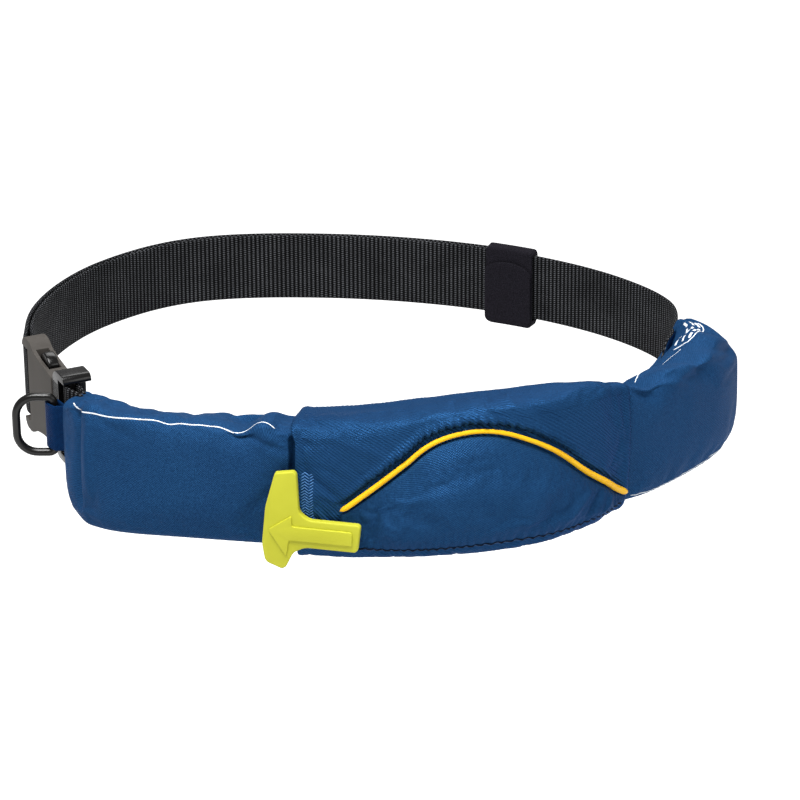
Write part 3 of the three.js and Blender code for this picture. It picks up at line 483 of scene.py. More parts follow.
pouch = {
    "length": 366 * mm,
    "back": 6 * mm,
    "front": 35 * mm,
    "top": 31 * mm,
    "bottom": 36.5 * mm,
    "mouthDepth": 24 * mm,
    "mouthClearance": 0.8 * mm,
    "profile": [  # out, up
        (0.00, 0.02), (0.00, 0.62), (0.07, 0.86), (0.40, 0.95), (0.78, 1.00), (0.94, 0.94), (0.99, 0.70),
        (1.02, 0.08), (1.00, -0.62), (0.92, -0.90), (0.74, -1.00), (0.34, -0.97), (0.06, -0.84), (0.00, -0.56),
    ],
    "sections": [  # at, front, back, top, bottom, slump
        (0.000, 0.28, 1.00, 0.58, 0.72, -0.30), (0.018, 0.42, 1.00, 0.66, 0.95, -0.12),
        (0.035, 0.60, 1.00, 0.85, 1.04, 0.10), (0.057, 0.81, 1.00, 0.96, 1.06, 0.26),
        (0.137, 0.97, 1.00, 0.97, 1.02, 0.38),
        (0.250, 1.00, 1.00, 0.96, 1.01, 0.34), (0.327, 1.07, 1.00, 0.96, 0.98, 0.26),
        (0.390, 1.12, 1.00, 1.05, 0.98, 0.20), (0.550, 1.05, 1.00, 1.28, 0.98, 0.18),
        (0.680, 0.93, 1.00, 1.17, 1.01, 0.24), (0.727, 0.84, 1.00, 1.00, 1.01, 0.38),
        (0.790, 0.94, 1.00, 0.96, 1.05, 0.62), (0.875, 1.01, 1.00, 0.96, 1.05, 0.44),
        (0.940, 1.04, 1.00, 0.80, 1.05, -0.22), (0.975, 1.01, 1.00, 0.64, 1.00, -0.62),
        (0.989, 0.77, 1.00, 0.64, 0.86, -0.56), (1.000, 0.36, 0.90, 0.72, 0.72, -0.24),
    ],
    "folds": [  # at, up, reach, rise, depth
        (0.030, 0.30, 0.014, 0.70, -0.05), (0.075, 0.95, 0.020, 0.20, 0.03), (0.256, 1.00, 0.016, 0.24, -0.10),
        (0.291, 0.98, 0.014, 0.30, 0.06), (0.775, 0.95, 0.018, 0.34, -0.09), (0.820, 0.90, 0.024, 0.30, 0.05),
        (0.880, 0.80, 0.020, 0.35, -0.06), (0.930, 0.95, 0.018, 0.22, 0.04), (0.962, 0.30, 0.014, 0.60, -0.04),
    ],
    "creases": [  # at, up, to at, to up, width, depth in mm, on the front and top of the wings
        (0.050, 0.98, 0.046, -0.70, 2.0, -7.0), (0.026, 0.80, 0.024, -0.80, 3.4, 2.2),
        (0.068, 0.95, 0.064, -0.50, 2.6, 2.6), (0.036, 0.99, 0.050, 0.60, 2.0, -2.4),
        (0.060, 0.90, 0.130, 0.55, 2.4, -0.5), (0.150, 0.99, 0.205, 0.86, 2.0, -0.6),
        (0.215, 0.98, 0.285, 0.80, 2.0, -1.3), (0.250, 0.99, 0.305, 0.92, 2.2, 1.2),
        (0.275, 0.80, 0.318, 0.62, 2.4, -0.8), (0.745, 0.90, 0.790, 0.55, 2.4, -1.3),
        (0.760, 0.99, 0.835, 0.74, 2.4, 1.2), (0.785, 0.99, 0.880, 0.60, 2.2, -1.2),
        (0.830, 0.98, 0.900, 0.80, 2.4, 1.0), (0.870, 0.98, 0.905, 0.30, 3.0, -1.4),
        (0.905, 0.98, 0.965, 0.74, 2.4, -1.3), (0.925, 0.99, 0.975, 0.90, 2.2, 1.2),
        (0.930, 0.60, 0.965, 0.40, 3.0, 0.7),
    ],
    "step": 2.0 * mm,
    "fineStep": 0.8 * mm,  # beside the sleeve's hems and at the left lip
    "around": 10,  # steps between two of the profile's points
    "start": 3.5 * mm,  # the left rim's place along the waist
    "inwardFall": 0.74,  # how much lower the right end is behind the webbing
    "groove": 3.5 * mm,  # depth beside the sleeve's left hem
    "settle": (2.0, 0.02, 1.4 * mm),  # pressure, spare cloth, how far a point may move
}
sleeve = {
    "start": 121 * mm,
    "length": 148 * mm,
    "wall": 1.8 * mm,
    "clearance": 0.6 * mm,
    "stand": [(0.00, 2.6), (0.12, 1.2), (0.50, 0.8), (0.90, 0.4), (1.00, 0.0)],  # in times the clearance
}
profileShares = closedCurve(pouch["profile"], pouch["around"])


def pouchSize(along, grow=0.0):
    at = np.asarray(along, float) / pouch["length"]
    front, back, top, bottom, slump = (readTable(pouch["sections"], at, column) for column in range(1, 6))
    return (front * pouch["front"] + grow, -back * pouch["back"] - grow,
            top * pouch["top"] + grow, bottom * pouch["bottom"] + grow, slump)


def foldDepth(along, up):
    at, total = along / pouch["length"], 0.0
    for foldAt, foldUp, reach, rise, depth in pouch["folds"]:
        total = total + depth * (pouch["back"] + pouch["front"]) * bell(at, foldAt, reach) * bell(up, foldUp, rise)
    return total


def pouchOutline(along, grow=0.0, folds=False, shares=None):  # out and up, one row for each place along
    shares = profileShares if shares is None else shares
    along = np.asarray(along, float)[:, None]
    front, back, top, bottom, slump = pouchSize(along, grow)
    shareOut, shareUp = shares[None, :, 0], shares[None, :, 1]
    out = back + (front - back) * shareOut
    up = shareUp * np.where(shareUp > 0, top * (1 - slump * (1 - shareOut)), bottom)
    if folds:
        swell = np.where(shareOut > 0.3, foldDepth(along, shareUp), 0.0)
        lifted = smoothStep(0.80, 0.94, np.abs(shareUp))
        out, up = out + swell * (1 - lifted), up + swell * lifted * np.sign(shareUp)
    return out, up


# The doubled strap and the doubled tab leave by the left mouth, the webbing by the right one.
buckle = {
    "fromPouch": 3.5 * mm,
    "socketLength": 43 * mm,
    "clearance": 0.5 * mm,
    "plugLength": 16.5 * mm,
    "width": 45 * mm,
    "thickness": 11 * mm,
    "plugDepth": 5 * mm,
    "barDiameter": 3.6 * mm,
    "barGap": 0.35 * mm,
    "strapRunIn": 6 * mm,
    "rise": 3.4 * mm,  # it sits this much above the waist line's height
}
belt = {
    "width": 38 * mm,
    "thickness": 2 * mm,
    "gap": 0.4 * mm,
    "lean": -0.8 * mm,
    "layersPart": 26 * mm,
    "keeperFromPouch": 136 * mm,
    "tailInKeeper": 4 * mm,  # the folded tail ends inside the keeper
    "tucked": 13 * mm,  # its hidden start dips down into the pouch
    "step": 3 * mm,
}
ring = {
    "height": 34.4 * mm,
    "reach": 23.4 * mm,
    "wire": 4.2 * mm,
    "corner": 3.4 * mm,
    "arm": 9 * mm,
    "standOff": 9.4 * mm,
    "fromPouch": 6.6 * mm,
    "rise": 2.8 * mm,
}
tab = {"width": 24.6 * mm, "wall": 1.2 * mm, "clearance": 0.4 * mm, "slack": 1.6 * mm, "depth": 20 * mm}
wrapRadius = buckle["barDiameter"] / 2 + buckle["barGap"] + belt["thickness"] / 2
tabHalf = tab["wall"] + belt["gap"] / 2
tabMiddle = ring["standOff"] - ring["wire"] / 2
layerPitch = belt["thickness"] + belt["gap"]


def strapLayer(along):
    share = smoothStep(-buckle["fromPouch"], buckle["strapRunIn"], along)
    return wrapRadius + (layerPitch / 2 - wrapRadius) * share


def slotOutline(low, high, count, innerTop=1.0, outerTop=1.0):  # the mouth's slot, in step with the profile's points
    half = belt["width"] / 2 + pouch["mouthClearance"]
    corners = np.array([(0, 0), (0, innerTop), (1, outerTop), (1, -1), (0, -1), (0, 0)], float)
    marks = np.array([0, 3, 11, 17, 25, 28]) / 28
    share = np.arange(count) / count
    across = np.interp(share, marks, corners[:, 0])
    return low + (high - low) * across, half * np.interp(share, marks, corners[:, 1])


def endShape(along, out, up, shareOut, shareUp):  # the right end: low behind the webbing, its outer corner rounded
    along = np.asarray(along, float)[:, None]
    reach = 0.45 - 0.10 * smoothStep(340 * mm, 358 * mm, along)
    fall = pouch["inwardFall"] * smoothStep(284 * mm, 312 * mm, along) * (1 - np.clip((shareOut - 0.04) / reach, 0, 1))
    corner = smoothStep(0.5, 1.0, shareUp) * smoothStep(0.45, 1.0, shareOut)
    out = out - (4.5 * mm * bell(along, 350 * mm, 15 * mm) + 1.5 * mm * smoothStep(325 * mm, 352 * mm, along)) * corner
    up = up + 1.0 * mm * smoothStep(345 * mm, 360 * mm, along) * corner
    return out, np.where(shareUp > 0, up * (1 - fall), up)


def creaseDepth(at, up, creases, acrossScale, upScale):  # lines drawn on the cloth, deep in the middle
    total = np.zeros(np.broadcast(at, up).shape)
    for fromAt, fromUp, toAt, toUp, width, depth in creases:
        lineX, lineY = (toAt - fromAt) * acrossScale, (toUp - fromUp) * upScale
        x, y = (at - fromAt) * acrossScale, (up - fromUp) * upScale
        length = math.hypot(lineX, lineY)
        t = np.clip((x * lineX + y * lineY) / length ** 2, 0, 1)
        gap = np.hypot(x - t * lineX, y - t * lineY)
        total += depth * mm * np.exp(-(gap / (width * mm)) ** 2) * (0.25 + 0.75 * np.sin(math.pi * t) ** 0.7)
    return total


def makePouch():
    count = len(profileShares)
    fine = [(pouch["start"], pouch["start"] + 26 * mm), (sleeve["start"] - 7 * mm, sleeve["start"] + 5 * mm)]
    body = [pouch["start"]]
    while body[-1] < pouch["length"] - 0.5 * pouch["step"]:
        closer = any(low <= body[-1] < high for low, high in fine)
        body.append(body[-1] + (pouch["fineStep"] if closer else pouch["step"]))
    body = np.array(body[:-1] + [pouch["length"]])
    hidden = smoothStep(sleeve["start"] + 3 * mm, sleeve["start"] + 12 * mm, body) * (
        1 - smoothStep(sleeve["start"] + sleeve["length"] - 12 * mm, sleeve["start"] + sleeve["length"] - 3 * mm, body))
    out, up = pouchOutline(body, 0.0, folds=True)
    shareUp, shareOut = profileShares[None, :, 1], profileShares[None, :, 0]
    out, up = endShape(body, out, up, shareOut, shareUp)
    grid = onWaist(body[:, None], out, up)
    normal = gridNormals(grid)
    at = body[:, None] / pouch["length"]
    visible = smoothStep(0.25, 0.5, shareOut) * (1 - hidden[:, None])
    push = creaseDepth(at, shareUp, pouch["creases"], pouch["length"], pouch["top"] * 1.1) * visible
    topside = smoothStep(0.72, 0.95, shareUp)
    underside = smoothStep(0.80, 0.98, -shareUp)
    ripple = roughness(np.stack(np.broadcast_arrays(body[:, None] * 1.0, shareUp * 0.012, shareOut * 0.03), -1), 9 * mm)
    rumpled = 0.45 + 0.5 * (1 - smoothStep(0.22, 0.30, at)) + 0.3 * smoothStep(0.74, 0.80, at)
    push = push + ripple * (0.12 + rumpled * topside - 0.1 * underside) * mm * (1 - hidden[:, None])
    slow = roughness(grid, 26 * mm, 3.0)
    push = push + slow * 0.45 * (1 - underside) * mm * (1 - hidden[:, None]) - 2.2 * mm * hidden[:, None]
    gap = np.exp(-((body - sleeve["start"] + 1.0 * mm) / (2.1 * mm)) ** 4)[:, None]
    push = push - pouch["groove"] * gap * smoothStep(0.2, 0.5, shareOut) * (1 - smoothStep(0.80, 0.97, shareUp))
    grid = grid + normal * push[..., None]
    stepAlong = (pouch["mouthDepth"] - 1 * mm) / 5
    ends = []
    leftSlot = slotOutline(-(strapLayer(0) + belt["thickness"] / 2 + pouch["mouthClearance"]),
                           tabMiddle + tabHalf + pouch["mouthClearance"] / 2, count, outerTop=0.84)
    half = belt["thickness"] / 2 + pouch["mouthClearance"]
    rightSlot = slotOutline(-half, half, count, innerTop=0.3)
    for edge, inward, slot in ((pouch["start"], 1, leftSlot), (pouch["length"], -1, rightSlot)):
        rim = endShape(np.array([edge]), *pouchOutline(np.array([edge])), shareOut, shareUp)
        rows = []
        for share in (0.3, 0.62, 0.88):  # the rolled edge turns in to the slot
            mixedOut = rim[0][0] * (1 - share) + slot[0] * share
            mixedUp = rim[1][0] * (1 - share) + slot[1] * share
            rows.append(onWaist(edge - inward * 1.6 * mm * math.sin(math.pi * share), mixedOut, mixedUp))
        for number in range(6):
            rows.append(onWaist(edge + inward * number * stepAlong, slot[0], slot[1]))
        ends.append(rows)
    rows = ends[0][::-1] + list(grid) + ends[1]
    lead, tail = len(ends[0]), len(ends[1])
    along = np.concatenate([-np.arange(lead, 0, -1) * 3 * mm, body, pouch["length"] + np.arange(1, tail + 1) * 3 * mm])
    piece = gridPiece("pouch_shell", np.array(rows), along, caps=True)
    outwardAgain(piece)
    held = np.ones((len(rows), count))
    free = (1 - hidden) * (1 - gap[:, 0]) * smoothStep(0, 9 * mm, body - body[0])
    free = free * smoothStep(0, 9 * mm, pouch["length"] - body)
    backSide = np.maximum(1 - smoothStep(0.02, 0.22, shareOut), underside)[0]
    held[lead:lead + len(body)] = 1 - free[:, None] * (1 - 0.92 * backSide[None, :])
    settleCloth(piece, held.ravel(), *pouch["settle"])
    places = placesOf(piece).reshape(len(rows), count, 3)[lead:lead + len(body)]
    makeFiner(piece)
    finishPiece(piece, pouchCloth, node="pouch", slot="pouch_cloth")
    return piece, body, places


pouchPiece, pouchBody, pouchGrid = makePouch()
print("pouch made")


# Centre sleeve

sleeve["around"] = [10, 5, 7, 8, 10, 12, 30, 30, 14, 8, 7, 7, 5, 10]  # steps in each span of the profile
sleeve["step"] = 1.0 * mm
sleeve["cloth"] = 1.2 * mm  # the sleeve's own thickness
sleeve["settle"] = (1.6, 0.02, 1.0 * mm)
sleeve["drawn"] = 2.5 * mm  # how far the left hem's top leans over the wing
sleeve["gather"] = {"pitch": 3.3 * mm, "depth": 1.35 * mm, "ridge": 2.2 * mm, "valley": 1.3 * mm}
sleeve["creases"] = [  # at, height in mm, to at, to height, width, depth in mm
    (0.06, -8, 0.14, -24, 2.0, 1.0), (0.03, 12, 0.16, -6, 2.4, -0.7), (0.10, 30, 0.30, 18, 2.6, 0.5),
    (0.46, 39, 0.52, 31, 1.4, -1.3), (0.50, 40, 0.56, 32, 1.4, 1.1), (0.55, 40, 0.60, 33, 1.5, -1.2),
    (0.60, 41, 0.67, 30, 1.6, 1.0), (0.64, 40, 0.72, 27, 1.7, -1.1), (0.40, 37, 0.47, 28, 1.5, -0.9),
    (0.72, 36, 0.80, 22, 1.8, -0.5), (0.86, 32, 0.95, 12, 2.2, -0.9), (0.93, 33, 0.98, -4, 2.0, 0.8),
    (0.88, 20, 0.97, -18, 2.4, -0.5),
]
pocket = {
    "bulge": 9 * mm,
    "wall": 1.6 * mm,
    "seam": -30 * mm,
    "arch": 59 * mm,
    "seat": 0.35 * mm,
    "thread": 0.5 * mm,  # radius of the painted shade line along the pocket's lower edge
    "settle": (3.0, 0.03, 1.6 * mm),
    "rows": [  # at, height, bulge
        (0.142, 0.31, 0.00), (0.203, 0.45, 0.06), (0.265, 0.60, 0.50), (0.325, 0.76, 0.85), (0.374, 0.88, 0.96),
        (0.419, 0.95, 1.00), (0.497, 1.00, 1.00), (0.569, 0.97, 0.94), (0.648, 0.82, 0.84), (0.709, 0.66, 0.74),
        (0.775, 0.46, 0.60), (0.880, 0.24, 0.34), (0.985, 0.02, 0.00),
    ],
    "creases": [  # at, height share, to at, to height share, width, depth in mm
        (0.22, 0.10, 0.25, 0.72, 3.0, -1.8), (0.29, 0.06, 0.31, 0.60, 3.0, 1.1), (0.34, 0.12, 0.52, 0.22, 2.6, -0.9),
        (0.50, 0.14, 0.66, 0.30, 2.6, 0.8), (0.60, 0.10, 0.76, 0.50, 2.8, -1.2), (0.70, 0.12, 0.80, 0.80, 2.4, 1.2),
        (0.77, 0.10, 0.84, 0.86, 2.0, -1.5), (0.84, 0.12, 0.90, 0.86, 2.0, 1.0), (0.42, 0.88, 0.60, 0.91, 2.4, 1.0),
    ],
}
archFrom, archTo = pocket["rows"][0][0], pocket["rows"][-1][0]


def archHeight(share):  # evened out a little along the arch
    spread = [(-0.04, 1), (-0.02, 2), (0.0, 3), (0.02, 2), (0.04, 1)]
    height = sum(weight * readTable(pocket["rows"], np.asarray(share) + shift, 1) for shift, weight in spread) / 9
    return pocket["seam"] + height * pocket["arch"]


def pipingHeight(share):
    slope = (archHeight(share + 0.01) - archHeight(share - 0.01)) / (0.02 * sleeve["length"])
    return archHeight(share) + (piping["diameter"] / 2 + piping["gap"]) * np.hypot(1, slope), slope


def sleeveOut(along, grow):
    share = (along - sleeve["start"]) / sleeve["length"]
    return sleeve["clearance"] * (1 + readTable(sleeve["stand"], share, 1)) + grow


def frontOut(out, up, height):  # how far out a row's front stands at a height
    best = np.full(np.shape(height), -1.0)
    for k in range(len(out)):
        a, b = (out[k], up[k]), (out[(k + 1) % len(out)], up[(k + 1) % len(out)])
        low, high = (a, b) if a[1] < b[1] else (b, a)
        if high[1] - low[1] < 1e-9:
            continue
        inside = (height >= low[1]) & (height <= high[1])
        there = low[0] + (high[0] - low[0]) * (height - low[1]) / (high[1] - low[1])
        best = np.where(inside, np.maximum(best, there), best)
    return best


sleeveShares = closedCurve(pouch["profile"], sleeve["around"])


def sleeveRow(along, grow):
    outs, ups = [], []
    for place in np.atleast_1d(along):
        out, up = pouchOutline(np.array([place]), float(sleeveOut(place, grow)), shares=sleeveShares)
        outs.append(out[0])
        ups.append(up[0])
    return np.array(outs), np.array(ups)


def makeSleeve():
    along = np.linspace(sleeve["start"], sleeve["start"] + sleeve["length"],
                        round(sleeve["length"] / sleeve["step"]) + 1)
    share = (along - sleeve["start"]) / sleeve["length"]
    out, up = sleeveRow(along, sleeve["wall"])
    lean = smoothStep(0.70, 0.95, sleeveShares[None, :, 1]) * (1 - smoothStep(0, 0.2, share))[:, None]
    grid = onWaist(along[:, None] - sleeve["drawn"] * lean, out, up)
    normal = gridNormals(grid)
    front = smoothStep(0.45, 0.75, sleeveShares[None, :, 0])
    lineHeight, slope = pipingHeight(np.clip(share, archFrom, archTo))
    above = (up - lineHeight[:, None]) / np.hypot(1, slope)[:, None]  # how far above the piping
    inArch = smoothStep(archFrom - 0.02, archFrom + 0.04, share) * (1 - smoothStep(archTo - 0.06, archTo, share))
    ruched = smoothStep(0.18, 0.32, share) * (1 - smoothStep(0.70, 0.80, share))
    run = np.concatenate([[0], np.cumsum(np.hypot(np.diff(along), np.diff(lineHeight)))])
    gather = sleeve["gather"]
    wobble = roughness(np.stack([run, run * 0, run * 0], -1), 7 * mm, 5.0)
    comb = np.sin(2 * math.pi * run / gather["pitch"] + 1.8 * wobble)[:, None]
    push = -gather["valley"] * bell(above, 2.2 * mm, 1.3 * mm) * inArch[:, None] * front
    ridge = gather["ridge"] * (0.4 + 0.6 * ruched[:, None]) * bell(above, 5.2 * mm, 2.0 * mm)
    push = push + ridge * inArch[:, None] * front
    push = push + gather["depth"] * comb * ruched[:, None] * bell(above, 4.2 * mm, 2.2 * mm) * front
    push = push + creaseDepth(share[:, None], up, [
        (a, b * mm, c, d * mm, w, e) for a, b, c, d, w, e in sleeve["creases"]], sleeve["length"], 1.0) * front
    topside = smoothStep(0.80, 0.97, sleeveShares[None, :, 1])
    slant = np.stack(np.broadcast_arrays((along[:, None] + up * 0.8) * 1.0, (up - out) * 0.28, out * 0.0), -1)
    push = push + roughness(slant, 7 * mm, 9.0) * (0.2 - 0.18 * topside) * mm
    push = push + roughness(grid, 24 * mm, 2.0) * (0.4 - 0.3 * topside) * mm
    hem = bell(along, along[0] + 1.6 * mm, 1.6 * mm) + bell(along, along[-1] - 1.6 * mm, 1.4 * mm)
    push = push + 0.5 * mm * hem[:, None]
    grid = grid + normal * np.maximum(push, -1.3 * mm)[..., None]
    piece = gridPiece("sleeve_cloth", grid, along)
    held = np.zeros((len(along), grid.shape[1]))
    held += 1 - (smoothStep(0, 6 * mm, along - along[0]) * smoothStep(0, 6 * mm, along[-1] - along))[:, None]
    held = np.maximum(held, bell(above, 0, 1.5 * mm) * inArch[:, None] * front)
    below = (smoothStep(0, 2 * mm, -above) * inArch[:, None]) * smoothStep(-2 * mm, 2 * mm, up - pocket["seam"]) * front
    held = np.maximum(held, below)  # the pocket covers it there
    held = np.maximum(held, 0.95 * (1 - smoothStep(0.30, 0.60, sleeveShares[None, :, 0])))
    settleCloth(piece, held.ravel(), *sleeve["settle"])
    settled = placesOf(piece).reshape(grid.shape)
    wall = piece.modifiers.new("wall", "SOLIDIFY")
    wall.thickness = sleeve["cloth"]
    wall.offset = -1
    applyAll(piece)
    finishPiece(piece, sleeveCloth, node="centre_sleeve", slot="sleeve_cloth")
    return along, out, up, settled


sleeveAlong, sleeveOuts, sleeveUps, sleeveGrid = makeSleeve()
print("sleeve made")


# Pocket and piping

def makePocket():
    share = np.linspace(archFrom, archTo, 110)
    along = sleeve["start"] + share * sleeve["length"]
    out, up = sleeveRow(along, sleeve["wall"])
    top = archHeight(share)
    steps = 40
    rise = np.linspace(0, 1, steps)
    bulge = readTable(pocket["rows"], share, 2)
    inner, outer = [], []
    for i in range(len(share)):
        heights = pocket["seam"] + (top[i] - pocket["seam"]) * rise
        seat = frontOut(out[i], up[i], heights) + pocket["seat"]
        dome = np.sin(math.pi * np.clip(rise, 1e-6, 1) ** 0.8) ** 0.7
        dome[-1] = 0
        inner.append(onWaist(along[i], seat, heights))
        outer.append(onWaist(along[i], seat + pocket["wall"] + pocket["bulge"] * bulge[i] * dome, heights))
    inner, outer = np.array(inner), np.array(outer)
    normal = -gridNormals(outer, ring=False)  # the rows run upwards here
    edge = np.sin(math.pi * rise)[None, :] ** 0.5
    push = creaseDepth(share[:, None], rise[None, :], pocket["creases"], sleeve["length"], 0.045) * edge
    push = push + roughness(outer, 15 * mm, 4.0) * 0.7 * mm * edge
    pucker = np.sin(along / (3.4 * mm) * 2 * math.pi + 1.5 * roughness(outer[:, 0], 9 * mm, 6.0))
    push = push + (0.7 * mm * pucker)[:, None] * bell(rise, 0.10, 0.08)[None, :]
    outer = outer + normal * push[..., None]
    grid = np.concatenate([inner, outer[:, ::-1]], axis=1)
    piece = gridPiece("pocket_panel", grid, along, caps=True)
    outwardAgain(piece)
    held = np.ones(grid.shape[:2])
    sideFree = smoothStep(0, 0.06, share - archFrom) * smoothStep(0, 0.06, archTo - share)
    held[:, steps:] = 1 - (sideFree[:, None] * (edge[:, ::-1] ** 1.5))
    settleCloth(piece, held.ravel(), *pocket["settle"])
    seam = placesOf(piece).reshape(grid.shape)[3:-3, -3]  # a near-black tube just above the pocket's lower edge: painted shade that deepens the dark line under the pocket's bulge
    closedPiece("pocket_seam_shade_line", tubeGrid(seam, pocket["thread"], 6), lengthsAlong(seam), darkThreadAndShade,
                slot="sleeve_cloth")
    makeFiner(piece)
    finishPiece(piece, pocketCloth, node="pocket", slot="sleeve_cloth")


def tubeGrid(path, radii, sides, upward=(0, 0, 1)):
    path = np.asarray(path, float)
    forward = np.gradient(path, axis=0)
    forward /= np.linalg.norm(forward, axis=1, keepdims=True)
    flat = np.cross(forward, np.array(upward, float))
    flat /= np.linalg.norm(flat, axis=1, keepdims=True)
    upright = np.cross(flat, forward)
    turn = np.linspace(0, 2 * math.pi, sides, endpoint=False)
    radii = np.broadcast_to(radii, len(path))
    return (path[:, None] + flat[:, None] * (np.cos(turn)[None, :, None] * radii[:, None, None])
            + upright[:, None] * (np.sin(turn)[None, :, None] * radii[:, None, None]))


def lengthsAlong(path):
    return np.concatenate([[0], np.cumsum(np.linalg.norm(np.diff(path, axis=0), axis=1))])


def makePiping():
    share = np.linspace(archFrom, archTo, 150)
    along = sleeve["start"] + share * sleeve["length"]
    height, _ = pipingHeight(share)
    out, up = sleeveRow(along, sleeve["wall"])
    radius = (piping["leftDiameter"] + (piping["diameter"] - piping["leftDiameter"])
              * smoothStep(0.6, 0.95, share)) / 2 - 0.25 * mm * bell(share, 0.52, 0.2)
    seat = []
    for i in range(len(share)):
        around = np.linspace(height[i] - radius[i], height[i] + radius[i], 5)
        seat.append(frontOut(out[i], up[i], around).max() + radius[i] + pocket["seat"])
    path = onWaist(along, np.array(seat), height)
    ends = np.minimum(1, np.sqrt(np.clip(1 - (1 - np.minimum(np.arange(150), 4) / 4) ** 2, 0.02, 1)))
    radius = radius * ends * ends[::-1]
    closedPiece("piping_cord", tubeGrid(path, radius, piping["sides"]), lengthsAlong(path), pipingCord,
                node="piping", slot="piping_cord")


makePocket()
makePiping()
print("pocket and piping made")


# Webbing

def leanAt(along):
    rise = smoothStep(pouch["length"] + 18 * mm, pouch["length"] + 75 * mm, along)
    fall = smoothStep(waistLength - 120 * mm, waistLength - 75 * mm, along)
    return belt["lean"] * rise * (1 - fall)


def strapOutline(width, thickness, rows=20):  # across and up, a flat strap with rounded edges
    half, edge = width / 2, thickness / 2
    ups = np.linspace(-half + edge, half - edge, rows)
    turn = np.linspace(0, math.pi, 6)[1:-1]
    points = [(edge, u) for u in ups]
    points += [(edge * math.cos(t), half - edge + edge * math.sin(t)) for t in turn]
    points += [(-edge, u) for u in ups[::-1]]
    points += [(-edge * math.cos(t), -half + edge - edge * math.sin(t)) for t in turn]
    return np.array(points)


def makeStrap(name, plan, lean, width, thickness, material, rise=0.0, **words):
    plan = np.asarray(plan, float)
    forward = np.gradient(plan, axis=0)
    forward /= np.linalg.norm(forward, axis=1, keepdims=True)
    side = np.stack([forward[:, 1], -forward[:, 0]], axis=1)
    outline = strapOutline(width, thickness)
    across = outline[None, :, 0] + (lean[:, None] / width) * outline[None, :, 1]
    rise = np.broadcast_to(rise, len(plan))
    grid = np.stack([plan[:, None, 0] + side[:, None, 0] * across, plan[:, None, 1] + side[:, None, 1] * across,
                     outline[None, :, 1] + rise[:, None]], axis=-1)
    return closedPiece(name, grid, lengthsAlong(plan), material, **words)


buckleLength = buckle["socketLength"] + buckle["clearance"] + buckle["plugLength"]
buckleFar = onWaist(-buckle["fromPouch"] - buckleLength, layerPitch / 2, 0.0)
buckleNear = onWaist(-buckle["fromPouch"], 0.0, 0.0)
buckleAlong = (buckleNear - buckleFar) / np.linalg.norm(buckleNear - buckleFar)
buckleOut = np.array([buckleAlong[1], -buckleAlong[0], 0.0])
buckleMatrix = Matrix((
    (buckleAlong[0], 0, buckleOut[0], buckleFar[0]),
    (buckleAlong[1], 0, buckleOut[1], buckleFar[1]),
    (0, 1, 0, buckle["rise"]),
    (0, 0, 0, 1)))


def wrapPlan(centre, towards, outwards, radius, steps=14):
    turn = np.linspace(-math.pi / 2, math.pi / 2, steps)[:, None]
    return centre[:2] + towards[:2] * np.cos(turn) * radius + outwards[:2] * np.sin(turn) * radius


def runPlan(start, stop, outAt, step):
    along = np.linspace(start, stop, max(3, round(abs(stop - start) / step)))
    return onWaist(along, outAt(along), 0.0)[:, :2], along


def makeBelt():
    beltEnd = waistLength - buckle["fromPouch"] - buckleLength
    tailEnd = pouch["length"] + belt["keeperFromPouch"] + belt["tailInKeeper"]

    def inner(along):
        return (layerPitch / 2 - wrapRadius) * smoothStep(beltEnd - belt["layersPart"], beltEnd, along)

    def outer(along):
        share = smoothStep(beltEnd - belt["layersPart"], beltEnd, along)
        return layerPitch + (layerPitch / 2 + wrapRadius - layerPitch) * share

    first, firstAlong = runPlan(pouch["length"] - pouch["mouthDepth"] - 6 * mm, beltEnd, inner, belt["step"])
    turn = wrapPlan(buckleFar + buckleAlong * buckle["barDiameter"] / 2, buckleAlong, buckleOut, wrapRadius)
    last, lastAlong = runPlan(beltEnd, tailEnd, outer, belt["step"])
    plan = np.vstack([first, turn[1:-1], last])
    along = np.concatenate([firstAlong, np.full(len(turn) - 2, beltEnd), lastAlong])
    rise = buckle["rise"] * smoothStep(beltEnd - 150 * mm, beltEnd - 10 * mm, along)
    rise = rise - belt["tucked"] * (1 - smoothStep(pouch["length"] - 30 * mm, pouch["length"] - 13 * mm, along))
    makeStrap("belt_webbing_woven", plan, leanAt(along), belt["width"], belt["thickness"], blackWebbing,
              rise=rise, node="belt_webbing", slot="black_webbing")


def makeBuckleStrap():
    strapEnd, strapTurn = pouch["mouthDepth"] - 2 * mm, 1 * mm - buckle["fromPouch"]
    first, _ = runPlan(strapEnd, strapTurn, lambda a: -strapLayer(a), 1.5 * mm)
    last, _ = runPlan(strapTurn, strapEnd, strapLayer, 1.5 * mm)
    bar = buckleFar + buckleAlong * (buckleLength - buckle["barDiameter"] / 2)
    turn = wrapPlan(bar, -buckleAlong, buckleOut, wrapRadius)
    plan = np.vstack([first, turn[1:-1], last])
    outside = np.full(len(turn) - 2, strapTurn)
    along = np.concatenate([np.linspace(strapEnd, strapTurn, len(first)), outside,
                            np.linspace(strapTurn, strapEnd, len(last))])
    rise = buckle["rise"] * (1 - smoothStep(-3 * mm, 14 * mm, along))
    makeStrap("buckle_strap_woven", plan, np.zeros(len(plan)), belt["width"], belt["thickness"], blackWebbing,
              rise=rise, node="buckle_strap", slot="black_webbing")


makeBelt()
makeBuckleStrap()
print("webbing made")


# Keeper on the webbing

keeper = {
    "width": 28 * mm,
    "thickness": 1.6 * mm,
    "slackAbove": 0.6 * mm,
    "slackBelow": 4.4 * mm,
    "flapHeight": 37 * mm,
    "flapShoulder": 7 * mm,
    "seat": 0.35 * mm,
    "steps": 36,
    "corners": (1.8 * mm, 3.6 * mm),  # how round they are, above and below
}


def keeperRow(along, out, up):
    return onWaist(along, out + leanAt(along) / belt["width"] * up, up)


